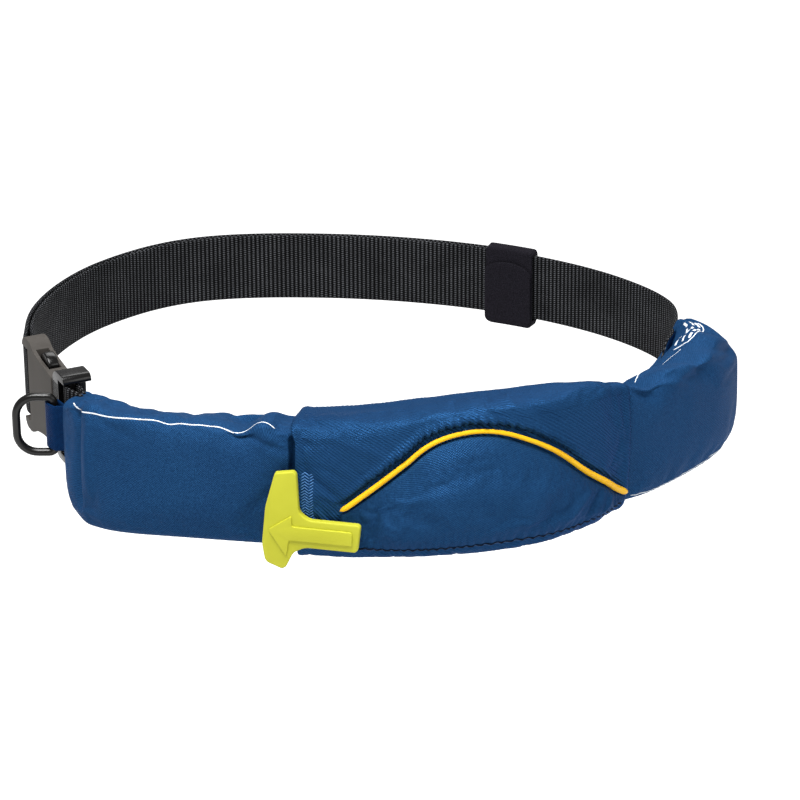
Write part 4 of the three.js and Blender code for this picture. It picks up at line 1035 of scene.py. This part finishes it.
def keeperOutline(grow):
    half = belt["thickness"] / 2 + belt["gap"] + grow
    low, high = -half, layerPitch + half
    top = belt["width"] / 2 + keeper["slackAbove"] + grow
    bottom = belt["width"] / 2 + keeper["slackBelow"] + grow
    corner = belt["gap"] / 2 + grow
    points = []
    for out, up, turn in ((high - corner, top - corner, 0), (low + corner, top - corner, 1),
                          (low + corner, corner - bottom, 2), (high - corner, corner - bottom, 3)):
        for share in np.linspace(0, 1, 6):
            angle = (turn + share) * math.pi / 2
            points.append((out + math.cos(angle) * corner, up + math.sin(angle) * corner))
    return np.array(points)


def makeKeeper():
    start = pouch["length"] + belt["keeperFromPouch"]
    along = np.linspace(start, start + keeper["width"], keeper["steps"])
    rows = []
    for grow, places in ((keeper["thickness"], along), (0.0, along[::-1])):
        outline = keeperOutline(grow)
        for place in places:
            ups = outline[:, 1].copy()
            for side, corner in zip((1, -1), keeper["corners"]):
                edge = max(0.0, 1 - min(place - start, start + keeper["width"] - place) / corner)
                ups[ups * side > 12 * mm] -= side * corner * (1 - math.sqrt(1 - edge * edge))
            rows.append(keeperRow(place, outline[:, 0], ups))
    rows = np.array(rows)
    piece = gridPiece("keeper_band", rows, np.concatenate([along, along]), joined=True)
    outwardAgain(piece)
    roundEdges(piece, 0.6 * mm)
    finishPiece(piece, keeperFelt, node="keeper_loop", slot="black_felt")

    back = -(belt["thickness"] / 2 + belt["gap"] + keeper["thickness"] + keeper["seat"])
    low = -belt["width"] / 2 - keeper["slackBelow"]
    flap = []
    for share in np.linspace(0, 1, keeper["steps"]):
        across = 2 * share - 1
        top = low + keeper["flapHeight"] - keeper["flapShoulder"] * (1 - math.sqrt(1 - (0.98 * across) ** 2))
        edge = max(0.0, 1 - min(share, 1 - share) * keeper["width"] / keeper["corners"][1])
        ups = np.linspace(low + keeper["corners"][1] * (1 - math.sqrt(1 - edge * edge)), top, 12)
        edge = 0.25 * mm * (1 - math.sqrt(1 - (0.96 * across) ** 2))
        out = np.concatenate([np.full(12, back - edge), np.full(12, back - keeper["thickness"] + edge)])
        flap.append(keeperRow(start + share * keeper["width"], out, np.concatenate([ups, ups[::-1]])))
    piece = gridPiece("keeper_flap_felt", np.array(flap), along, caps=True)
    outwardAgain(piece)
    roundEdges(piece, 0.5 * mm)
    finishPiece(piece, keeperFelt, node="keeper_flap", slot="black_felt")


makeKeeper()
print("keeper made")


# Plates with an outline, lying flat, for the handle and the buckle

def roundedCorners(outline, radius, steps=5):  # each corner cut back by the radius, less where an edge is short
    points = [np.array(p, float) for p in outline]
    rounded = []
    for i, here in enumerate(points):
        before, after = points[i - 1] - here, points[(i + 1) % len(points)] - here
        cut = min(radius, 0.45 * np.linalg.norm(before), 0.45 * np.linalg.norm(after))
        start, stop = (here + v / np.linalg.norm(v) * cut for v in (before, after))
        for t in np.linspace(0, 1, steps):
            rounded.append(tuple(start * (1 - t) ** 2 + 2 * here * t * (1 - t) + stop * t ** 2))
    return rounded


def makePlate(name, outline, thickness, cornerRound, edgeRound, steps=3):
    outline = roundedCorners(outline, cornerRound)
    deselectAll()
    bpy.ops.mesh.primitive_circle_add(vertices=len(outline), radius=1, fill_type="NGON", enter_editmode=False)
    piece = bpy.context.object
    piece.name = name
    for vertex, (x, y) in zip(piece.data.vertices, outline):  # the rim is drawn out to the outline
        vertex.co = (x, y, -thickness / 2)
    bpy.ops.object.mode_set(mode="EDIT")
    bpy.ops.mesh.select_all(action="SELECT")
    bpy.ops.mesh.extrude_region_move(TRANSFORM_OT_translate={"value": (0, 0, thickness)})
    bpy.ops.mesh.select_all(action="SELECT")
    bpy.ops.mesh.normals_make_consistent(inside=False)
    bpy.ops.object.mode_set(mode="OBJECT")
    if edgeRound:
        roundEdges(piece, edgeRound, steps)
    return piece


def makeBlock(name, low, high):
    deselectAll()
    bpy.ops.mesh.primitive_cube_add(size=1)
    piece = bpy.context.object
    piece.name = name
    low, high = np.array(low, float), np.array(high, float)
    piece.data.transform(Matrix.Translation((low + high) / 2) @ Matrix.Diagonal((*(high - low), 1)))
    return piece


def combine(piece, other, operation):
    step = piece.modifiers.new(operation.lower(), "BOOLEAN")
    step.operation = operation
    step.object = other
    step.solver = "MANIFOLD"
    applyAll(piece)
    bpy.data.objects.remove(other)


def cutAway(piece, low, high):
    combine(piece, makeBlock("cut", low, high), "DIFFERENCE")


def softenEdges(piece, width, steps=3, angle=30):
    makeActive(piece)
    bpy.ops.object.mode_set(mode="EDIT")
    bpy.ops.mesh.select_all(action="SELECT")
    bpy.ops.mesh.remove_doubles(threshold=0.02 * mm)
    bpy.ops.mesh.dissolve_limited(angle_limit=math.radians(2))
    bpy.ops.object.mode_set(mode="OBJECT")
    roundEdges(piece, width, steps, angle)


# Pull handle

handle = {
    "length": 49 * mm,
    "height": 52.5 * mm,
    "thickness": 3.6 * mm,
    "along": 115 * mm,
    "reach": 41 * mm,
    "barOut": 42.4 * mm,
    "stemOut": 48.2 * mm,
    "at": -14 * mm,
    "rise": 0.9 * mm,
    "outline": [
        (-0.05, 0.47), (0.13, 0.50), (0.16, 0.47), (0.18, 0.09), (0.28, 0.02), (0.77, 0.02), (0.80, 0.00),
        (0.77, -0.24), (0.74, -0.26), (0.24, -0.26), (0.12, -0.32), (0.04, -0.48), (0.00, -0.50), (-0.17, -0.44),
        (-0.20, -0.26), (-0.16, 0.12), (-0.06, 0.46),
    ],
    "arrow": [(-0.13, -0.10), (0.11, 0.06), (0.11, -0.05), (0.72, -0.05), (0.72, -0.19), (0.08, -0.19), (0.05, -0.36)],
}


def makeHandle():
    def scaled(rows):
        return [(a * handle["length"], b * handle["height"]) for a, b in rows][::-1]

    plate = makePlate("handle_grip", scaled(handle["outline"]), handle["thickness"], 2.4 * mm, 0.8 * mm, 4)
    plate.data.transform(Matrix.Translation((0, 0, handle["thickness"] / 2)))
    arrow = makePlate("handle_arrow", scaled(handle["arrow"]), 2 * handle["rise"], 1.5 * mm, 0.6 * mm, 4)
    arrow.data.transform(Matrix.Translation((0, 0, handle["thickness"])))
    barBack = onWaist(handle["along"], handle["barOut"], handle["at"])
    stemBack = onWaist(handle["along"] + handle["reach"], handle["stemOut"], handle["at"])
    right = (stemBack - barBack) / np.linalg.norm(stemBack - barBack)
    matrix = Matrix(((right[0], 0, right[1], barBack[0]), (right[1], 0, -right[0], barBack[1]),
                     (0, 1, 0, barBack[2]), (0, 0, 0, 1)))
    combine(plate, arrow, "UNION")
    plate.data.transform(matrix)
    finishPiece(plate, handlePlastic, node="pull_handle", slot="handle_plastic", flat=True)


def copyOfNode(name, node):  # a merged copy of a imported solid
    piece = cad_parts[node].copy()
    piece.data = piece.data.copy()
    piece.name = name
    scene.collection.objects.link(piece)
    matrix = piece.matrix_world.copy()
    piece.parent = None
    piece.matrix_world = Matrix()
    piece.data.transform(matrix)
    return piece


makeHandle()
print("handle made")


# Buckle, drawn flat: x along from the far end, y up, z outwards

slotHeight = belt["width"] + 2 * mm
slotLength = 2 * wrapRadius + belt["thickness"]
socket = {
    "outline": [(0.00, 0.84), (0.01, 1.00), (0.07, 1.12), (0.20, 1.15), (0.31, 1.08), (0.38, 0.98),
                (0.58, 0.90), (0.86, 0.84), (1.00, 0.81)],
    "cavity": (31 * mm, 32 * mm, 6.6 * mm),  # depth, height, thickness
    "windowStart": 8 * mm,
    "windowLength": 19 * mm,
    "edge": 0.9 * mm,
}
cavityDepth, cavityHeight, cavityThickness = socket["cavity"]
windowTo = buckle["socketLength"] - socket["windowStart"]
windowFrom = windowTo - socket["windowLength"]


def mirroredOutline(points):
    return points + [(x, -y) for x, y in reversed(points)]


def makeBar(name, x, height):
    deselectAll()
    bpy.ops.mesh.primitive_cylinder_add(vertices=24, radius=buckle["barDiameter"] / 2, depth=height)
    piece = bpy.context.object
    piece.name = name
    piece.data.transform(Matrix.Translation((x, 0, 0)) @ Matrix.Rotation(math.pi / 2, 4, "X"))
    return piece


def makeSocket():
    length, thick = buckle["socketLength"], buckle["thickness"]
    rows = [(a * length, b * buckle["width"] / 2) for a, b in socket["outline"]]
    body = makePlate("socket_shell", mirroredOutline(rows), thick, 2 * mm, 0)
    cutAway(body, (length - cavityDepth, -cavityHeight / 2, -cavityThickness / 2),
            (length + 1 * mm, cavityHeight / 2, cavityThickness / 2))
    cutAway(body, (windowFrom, -buckle["width"], -cavityThickness / 2),
            (windowTo, buckle["width"], cavityThickness / 2))
    cutAway(body, (-1 * mm, -slotHeight / 2, -thick), (slotLength, slotHeight / 2, thick))
    softenEdges(body, socket["edge"], 4)
    combine(body, makeBar("bar", buckle["barDiameter"] / 2, slotHeight + 2 * mm), "UNION")
    body.data.transform(buckleMatrix)
    finishPiece(body, buckleGrey, node="buckle_socket", slot="black_plastic", flat=True)


def makePlug():
    length = buckle["socketLength"]
    base = length + buckle["clearance"]
    half = slotHeight / 2 + 4 * mm
    tongue = cavityThickness - 2 * buckle["clearance"]
    thick = buckle["thickness"] - 1 * mm + buckle["plugDepth"]
    rows = [(base, half * 0.82), (base + buckle["plugLength"] * 0.25, half),
            (buckleLength - buckle["plugLength"] * 0.12, half), (buckleLength, half * 0.91)]
    body = makePlate("plug_body", mirroredOutline(rows), thick, 3 * mm, 0)
    body.data.transform(Matrix.Translation((0, 0, -buckle["plugDepth"] / 2)))
    cutAway(body, (buckleLength - slotLength, -slotHeight / 2, -2 * thick),
            (buckleLength + 1 * mm, slotHeight / 2, 2 * thick))
    for number in range(4):  # grip ribs across both broad faces, as grooves between them
        x = base + (1.8 + 1.7 * number) * mm
        for z in (thick / 2 - buckle["plugDepth"] / 2, -thick / 2 - buckle["plugDepth"] / 2):
            cutAway(body, (x - 0.4 * mm, -half * 0.72, z - 0.6 * mm), (x + 0.4 * mm, half * 0.72, z + 0.6 * mm))
    softenEdges(body, 0.9 * mm, 4)
    armOuter = cavityHeight / 2 - buckle["clearance"]
    extras = [makeBar("bar", buckleLength - buckle["barDiameter"] / 2, slotHeight + 2 * mm),
              makeBlock("tongue", (length - cavityDepth + 6 * mm, -2.5 * mm, -tongue / 2),
                        (base + 1 * mm, 2.5 * mm, tongue / 2))]
    for side in (-1, 1):
        low, high = sorted((side * (armOuter - 5 * mm), side * armOuter))
        extras.append(makeBlock("arm", (windowFrom + 2 * mm, low, -tongue / 2), (base + 1 * mm, high, tongue / 2)))
        pad = [(windowTo - 1.5 * mm, side * (armOuter - 1 * mm)), (windowTo - 1.5 * mm, side * (armOuter + 5.0 * mm)),
               (windowTo - 5 * mm, side * (armOuter + 8.0 * mm)), (windowTo - 10 * mm, side * (armOuter + 9.0 * mm)),
               (windowFrom + 4 * mm, side * (armOuter + 5.6 * mm)), (windowFrom + 3 * mm, side * (armOuter - 1 * mm))]
        extras.append(makePlate("pad", pad if side > 0 else pad[::-1], tongue, 1.6 * mm, 0.8 * mm))
    for extra in extras:
        combine(body, extra, "UNION")
    body.data.transform(buckleMatrix)
    finishPiece(body, buckleBlack, node="buckle_plug", slot="black_plastic", flat=True)


makeSocket()
makePlug()
print("buckle made")


# Ring and its tab

def makeRing():
    hinge = onWaist(-ring["fromPouch"], ring["standOff"], ring["rise"])
    half = (ring["height"] - ring["wire"]) / 2
    far = ring["reach"] - ring["wire"]
    bend = far - ring["arm"]  # the outer corners' radius
    deselectAll()
    bpy.ops.mesh.primitive_circle_add(vertices=18, radius=ring["wire"] / 2, fill_type="NOTHING", location=(0, 0, 0))
    piece = bpy.context.object
    piece.name = "ring_wire"
    bpy.ops.object.mode_set(mode="EDIT")
    bpy.ops.mesh.select_all(action="SELECT")

    def drawOut(x, z):
        bpy.ops.mesh.extrude_region_move(TRANSFORM_OT_translate={"value": (x, 0, z)})

    def turnRound(x, z, steps):  # a quarter turn
        bpy.ops.mesh.spin(steps=steps, angle=math.pi / 2, center=(x, 0, z), axis=(0, 1, 0))

    drawOut(0, half - ring["corner"])
    turnRound(-ring["corner"], half - ring["corner"], 6)
    drawOut(-(ring["arm"] - ring["corner"]), 0)
    turnRound(-ring["arm"], half - bend, 10)
    drawOut(0, -2 * (half - bend))
    turnRound(-ring["arm"], -half + bend, 10)
    drawOut(ring["arm"] - ring["corner"], 0)
    turnRound(-ring["corner"], -half + ring["corner"], 6)
    drawOut(0, half - ring["corner"])
    bpy.ops.mesh.select_all(action="SELECT")
    bpy.ops.mesh.remove_doubles(threshold=0.05 * mm)
    bpy.ops.mesh.normals_make_consistent(inside=False)
    bpy.ops.object.mode_set(mode="OBJECT")
    piece.data.transform(Matrix.Translation(hinge))
    finishPiece(piece, ringPlastic, body="ring", node="d_ring", slot="black_plastic")


def makeTab():
    hinge = onWaist(-ring["fromPouch"], ring["standOff"], 0.0)
    forward = waistForward(-ring["fromPouch"])
    outwards = np.array([forward[1], -forward[0]])
    radius = ring["wire"] / 2 + tab["clearance"] + tab["wall"] / 2
    pitch = tabHalf - tab["wall"] / 2

    def side(sign):
        rows = [(tab["depth"], tabMiddle + sign * pitch), (tab["depth"] / 2, tabMiddle + sign * pitch),
                (-0.5 * mm, tabMiddle + sign * pitch),
                (-ring["fromPouch"] * 0.42, ring["standOff"] + sign * radius * 0.86),
                (-ring["fromPouch"], ring["standOff"] + sign * radius)]
        return np.array([onWaist(a, b, 0.0)[:2] for a, b in rows])

    turn = wrapPlan(np.append(hinge[:2] - forward * tab["slack"], 0), -forward, outwards, radius)
    plan = np.vstack([side(-1), turn, side(1)[::-1]])
    makeStrap("ring_tab_cloth", plan, np.zeros(len(plan)), tab["width"], tab["wall"], shadedTabCloth,
              rise=ring["rise"], node="ring_tab", slot="pouch_cloth")


def makePatch():
    piece = copyOfNode("handle_patch_felt", "handle_patch")
    softenEdges(piece, 0.4 * mm, 2, 40)
    finishPiece(piece, keeperFelt, node="handle_patch", slot="black_felt")


makeRing()
makeTab()
makePatch()
print("ring, tab and patch made")


# Stitches and printed lines

def gridPlace(grid, row, col):  # a point on a settled grid, between its rows and columns
    i, k = int(np.clip(math.floor(row), 0, len(grid) - 2)), int(math.floor(col))
    cols = grid.shape[1]
    a, b = row - i, col - k
    here = grid[i, k % cols] * (1 - b) + grid[i, (k + 1) % cols] * b
    there = grid[i + 1, k % cols] * (1 - b) + grid[i + 1, (k + 1) % cols] * b
    return here * (1 - a) + there * a


def gridOut(grid, row, col):
    along = gridPlace(grid, row + 0.6, col) - gridPlace(grid, max(row - 0.6, 0), col)
    across = gridPlace(grid, row, col + 0.6) - gridPlace(grid, row, col - 0.6)
    normal = np.cross(across, along)
    return normal / np.linalg.norm(normal)


def ringFaces(first, rings, wide):  # one closed rod from rings of points
    last = first + (rings - 1) * wide
    faces = [(at + k, at + (k + 1) % wide, at + wide + (k + 1) % wide, at + wide + k)
             for at in range(first, last, wide) for k in range(wide)]
    return faces + [tuple(first + k for k in reversed(range(wide))), tuple(last + k for k in range(wide))]


def finishMarks(name, points, faces, material, slot):
    piece = newPiece(name, points, faces)
    outwardAgain(piece)
    return finishPiece(piece, material, slot=slot)


def makeStitches(name, marks, length, radius, lift, material, slot):
    points, faces = [], []
    for middle, direction, out in marks:
        direction = direction / np.linalg.norm(direction)
        side = np.cross(direction, out)
        side /= np.linalg.norm(side)
        out = np.cross(side, direction)
        start = len(points)
        for share, size in ((-0.5, 0.25), (-0.36, 0.8), (0.0, 1.0), (0.36, 0.8), (0.5, 0.25)):
            for turn in np.linspace(0, 2 * math.pi, 6, endpoint=False):
                points.append(middle + direction * share * length + out * (lift - 0.9 * radius * (share * 2) ** 2)
                              + (side * math.cos(turn) + out * math.sin(turn)) * radius * size)
        faces += ringFaces(start, 5, 6)
    return finishMarks(name, points, faces, material, slot)


def makeLines(name, lines, width, lift, material, slot):  # flat printed lines that follow the cloth
    points, faces = [], []
    spread = (-0.5, -0.5, -0.25, 0.0, 0.25, 0.5, 0.5)
    for marks in lines:
        first = len(points)
        middles = np.array([m for m, _ in marks])
        outs = np.array([o for _, o in marks])
        forward = np.gradient(middles, axis=0)
        side = np.cross(forward, outs)
        side /= np.linalg.norm(side, axis=1, keepdims=True)
        for middle, across in zip(middles, side):
            for x, z in zip(spread, (-0.1 * mm,) + (lift,) * 5 + (-0.1 * mm,)):
                _, place, out, _ = pouchPiece.closest_point_on_mesh(Vector(middle + across * x * width))
                points.append(np.array(place) + np.array(out) * z)
        faces += ringFaces(first, len(middles), len(spread))
    return finishMarks(name, points, faces, material, slot)


def pouchMarks(path, step=0.9 * mm):  # path of (at, profile share), as places on the settled pouch
    path = np.array(path, float)
    count = pouchGrid.shape[1]
    dense = []
    for (atA, colA), (atB, colB) in zip(path[:-1], path[1:]):
        steps = max(2, round(math.hypot((atB - atA) * pouch["length"], (colB - colA) * 0.21) / step))
        for t in np.linspace(0, 1, steps, endpoint=False):
            dense.append((atA + (atB - atA) * t, colA + (colB - colA) * t))
    dense.append(tuple(path[-1]))
    marks = []
    for at, col in dense:
        row = float(np.interp(at * pouch["length"], pouchBody, np.arange(len(pouchBody))))
        near = gridPlace(pouchGrid, row, col * count)
        _, place, out, _ = pouchPiece.closest_point_on_mesh(near)  # on the finished cloth
        marks.append((np.array(place), np.array(out)))
    return marks


printed = {
    "width": 0.62 * mm,
    "lift": 0.12 * mm,
    "lines": [  # at, share of the profile
        [(0.047, 0.385), (0.085, 0.375), (0.107, 0.366), (0.15, 0.345), (0.204, 0.335), (0.231, 0.336),
         (0.248, 0.342), (0.275, 0.318), (0.302, 0.345)],
        [(0.028, 0.300), (0.040, 0.340), (0.050, 0.368)],
        [(0.742, 0.292), (0.748, 0.283)],
        [(0.795, 0.245), (0.812, 0.232), (0.830, 0.222)],
        [(0.850, 0.205), (0.870, 0.205), (0.895, 0.215), (0.910, 0.225)],
        [(0.752, 0.633), (0.790, 0.640), (0.840, 0.636), (0.890, 0.628), (0.930, 0.618)],
    ],
    "barWidth": 1.4 * mm,
    "barColumns": (0.205, 0.220, 0.235),  # plain bars by the right mouth
    "barRows": [(0.925, 0.936), (0.942, 0.953), (0.959, 0.970), (0.976, 0.987)],
    "border": [(0.988, 0.246), (0.950, 0.248), (0.928, 0.246), (0.918, 0.236), (0.918, 0.205)],
}
bars = [[(low, column), (high, column)] for column in printed["barColumns"] for low, high in printed["barRows"]]
makeLines("printed_lines", [pouchMarks(line) for line in printed["lines"] + [printed["border"]]],
          printed["width"], printed["lift"], whitePrint, "pouch_cloth")
makeLines("printed_bars", [pouchMarks(line) for line in bars],
          printed["barWidth"], printed["lift"], whitePrint, "pouch_cloth")


def sleeveColumn(row, height):  # the column on the sleeve's front at a height
    ups, outs = sleeveUps[row], sleeveOuts[row]
    for k in range(len(ups) - 1):
        crosses = (ups[k] - height) * (ups[k + 1] - height) <= 0 and ups[k] != ups[k + 1]
        if crosses and outs[k] > 0.6 * outs.max():
            return k + (ups[k] - height) / (ups[k] - ups[k + 1])
    return float(np.argmax(outs))


stitches = {  # length, radius, lift
    "arch": (2.1 * mm, 0.24 * mm, 0.02 * mm),
    "hem": (3.0 * mm, 0.27 * mm, 0.15 * mm),
    "tab": (1.3 * mm, 0.2 * mm, 0.05 * mm),
    "pitch": 2.9 * mm,  # along the arch
    "hemHeights": np.arange(-31, 10, 1.5) * mm,
    "hemRows": [(3.8, 1.0), (5.8, -1.0), (7.8, 1.0)],  # mm from the hem, slant
}


def archStitches():  # a row of stitches beside the piping
    marks = []
    share = archFrom + 0.02
    while share < archTo - 0.05:
        row = share * (len(sleeveAlong) - 1)
        height, slope = pipingHeight(np.array([share]))
        height, slope = float(height[0]), float(slope[0])
        up = height + stitches["pitch"] * math.hypot(1, slope)
        col = sleeveColumn(round(row), up)
        here = gridPlace(sleeveGrid, row, col)
        forward = waistForward(sleeve["start"] + share * sleeve["length"])
        direction = np.array([forward[0], forward[1], slope])
        marks.append((here, direction, gridOut(sleeveGrid, row, col)))
        share += stitches["pitch"] / (sleeve["length"] * math.hypot(1, slope))
    makeStitches("arch_stitches", marks, *stitches["arch"], darkThreadAndShade, "sleeve_cloth")


def hemStitches():  # slanted overlock loops along the sleeve's left hem
    marks = []
    for height in stitches["hemHeights"]:
        for offset, slant in stitches["hemRows"]:
            row = offset * mm / sleeve["step"]
            col = sleeveColumn(round(row), height)
            forward = waistForward(sleeve["start"] + offset * mm)
            direction = np.array([forward[0], forward[1], 0.75 * slant])
            marks.append((gridPlace(sleeveGrid, row, col), direction, gridOut(sleeveGrid, row, col)))
    makeStitches("hem_stitches", marks, *stitches["hem"], lightThread, "sleeve_cloth")


def tabStitches():  # one row below the tab's upper edge
    marks = []
    height = ring["rise"] + tab["width"] / 2 - 3.2 * mm
    for number in range(5):
        place = onWaist((-2.6 + 1.7 * number) * mm, tabMiddle + tabHalf + 0.02 * mm, height)
        forward = waistForward(0.0)
        marks.append((place, np.array([*forward, 0.0]), np.array([forward[1], -forward[0], 0.0])))
    makeStitches("tab_stitches", marks, *stitches["tab"], lightThread, "pouch_cloth")


archStitches()
hemStitches()
tabStitches()
print("stitches and printed lines made")


# Floor, light and camera

studio = {
    "floorHeight": -0.9,
    "dimFloor": (1.1, 1.7),  # metres from right below to where the floor is brightest
    "camera": (24.0, 1.6),  # elevation in degrees, distance
    "target": Vector((7.7 * mm, -38 * mm, 0)),
    "focal": 3134 / 800,  # in picture widths
    "sensor": 36,
    "world": 0.32,
    "floorSize": 14,
    "floorGlow": 0.75,
    "floorColours": [(0.62, 0.62, 0.62, 1), (0.94, 0.94, 0.94, 1)],  # right below, far away
    "lights": [  # name, place, size, power
        ("key_light", (-0.35, -0.60, 1.7), (0.9, 0.9), 52),
        ("fill_light", (1.4, -1.2, 0.7), (1.2, 1.0), 8),
        ("back_light", (0.3, 1.3, 1.5), (1.6, 0.8), 16),
    ],
}


def areaLight(name, place, size, power):
    data = bpy.data.lights.new(name, "AREA")
    data.shape = "RECTANGLE"
    data.size, data.size_y = size
    data.energy = power
    light = bpy.data.objects.new(name, data)
    light.location = place
    light.rotation_euler = (studio["target"] - Vector(place)).to_track_quat("-Z", "Y").to_euler()
    scene.collection.objects.link(light)


def makeStudio():
    deselectAll()
    bpy.ops.mesh.primitive_plane_add(size=studio["floorSize"], location=(0, 0, 0))
    floor = bpy.context.object
    floor.name = "floor"
    floor.data.transform(Matrix.Translation((0, 0, studio["floorHeight"])))
    material, tree, shader = newMaterial(
        "pale_floor", Roughness=0.9, Specular_IOR_Level=0.0, Emission_Color=(1, 1, 1, 1))
    places = addNode(tree, "ShaderNodeTexCoord").outputs["Object"]
    away = addNode(tree, "ShaderNodeVectorMath", operation="LENGTH")
    tree.links.new(places, away.inputs[0])
    far = addNode(tree, "ShaderNodeMapRange", interpolation_type="SMOOTHSTEP")  # less light comes up from right below
    far.inputs["From Min"].default_value, far.inputs["From Max"].default_value = studio["dimFloor"]
    tree.links.new(away.outputs["Value"], far.inputs["Value"])
    tree.links.new(times(tree, far.outputs[0], studio["floorGlow"]), shader.inputs["Emission Strength"])
    speck = times(tree, noiseAt(tree, 3, 2), 0.1)
    tree.links.new(mixed(tree, plus(tree, far.outputs[0], speck, True), *studio["floorColours"]),
                   shader.inputs["Base Color"])
    floor.data.materials.append(material)
    world = bpy.data.worlds.new("studio")
    world.use_nodes = True
    world.node_tree.nodes["Background"].inputs[0].default_value = (1.0, 1.0, 1.0, 1)
    world.node_tree.nodes["Background"].inputs[1].default_value = studio["world"]
    scene.world = world
    for words in studio["lights"]:
        areaLight(*words)
    elevation, distance = studio["camera"]
    tilt = math.radians(elevation)
    data = bpy.data.cameras.new("camera")
    data.sensor_width = studio["sensor"]
    data.lens = studio["sensor"] * studio["focal"]
    camera = bpy.data.objects.new("camera", data)
    camera.location = studio["target"] + Vector((0, -math.cos(tilt), math.sin(tilt))) * distance
    camera.rotation_euler = (studio["target"] - camera.location).to_track_quat("-Z", "Y").to_euler()
    scene.collection.objects.link(camera)
    scene.camera = camera
    scene.view_settings.view_transform = "Standard"


makeStudio()
print("studio made")
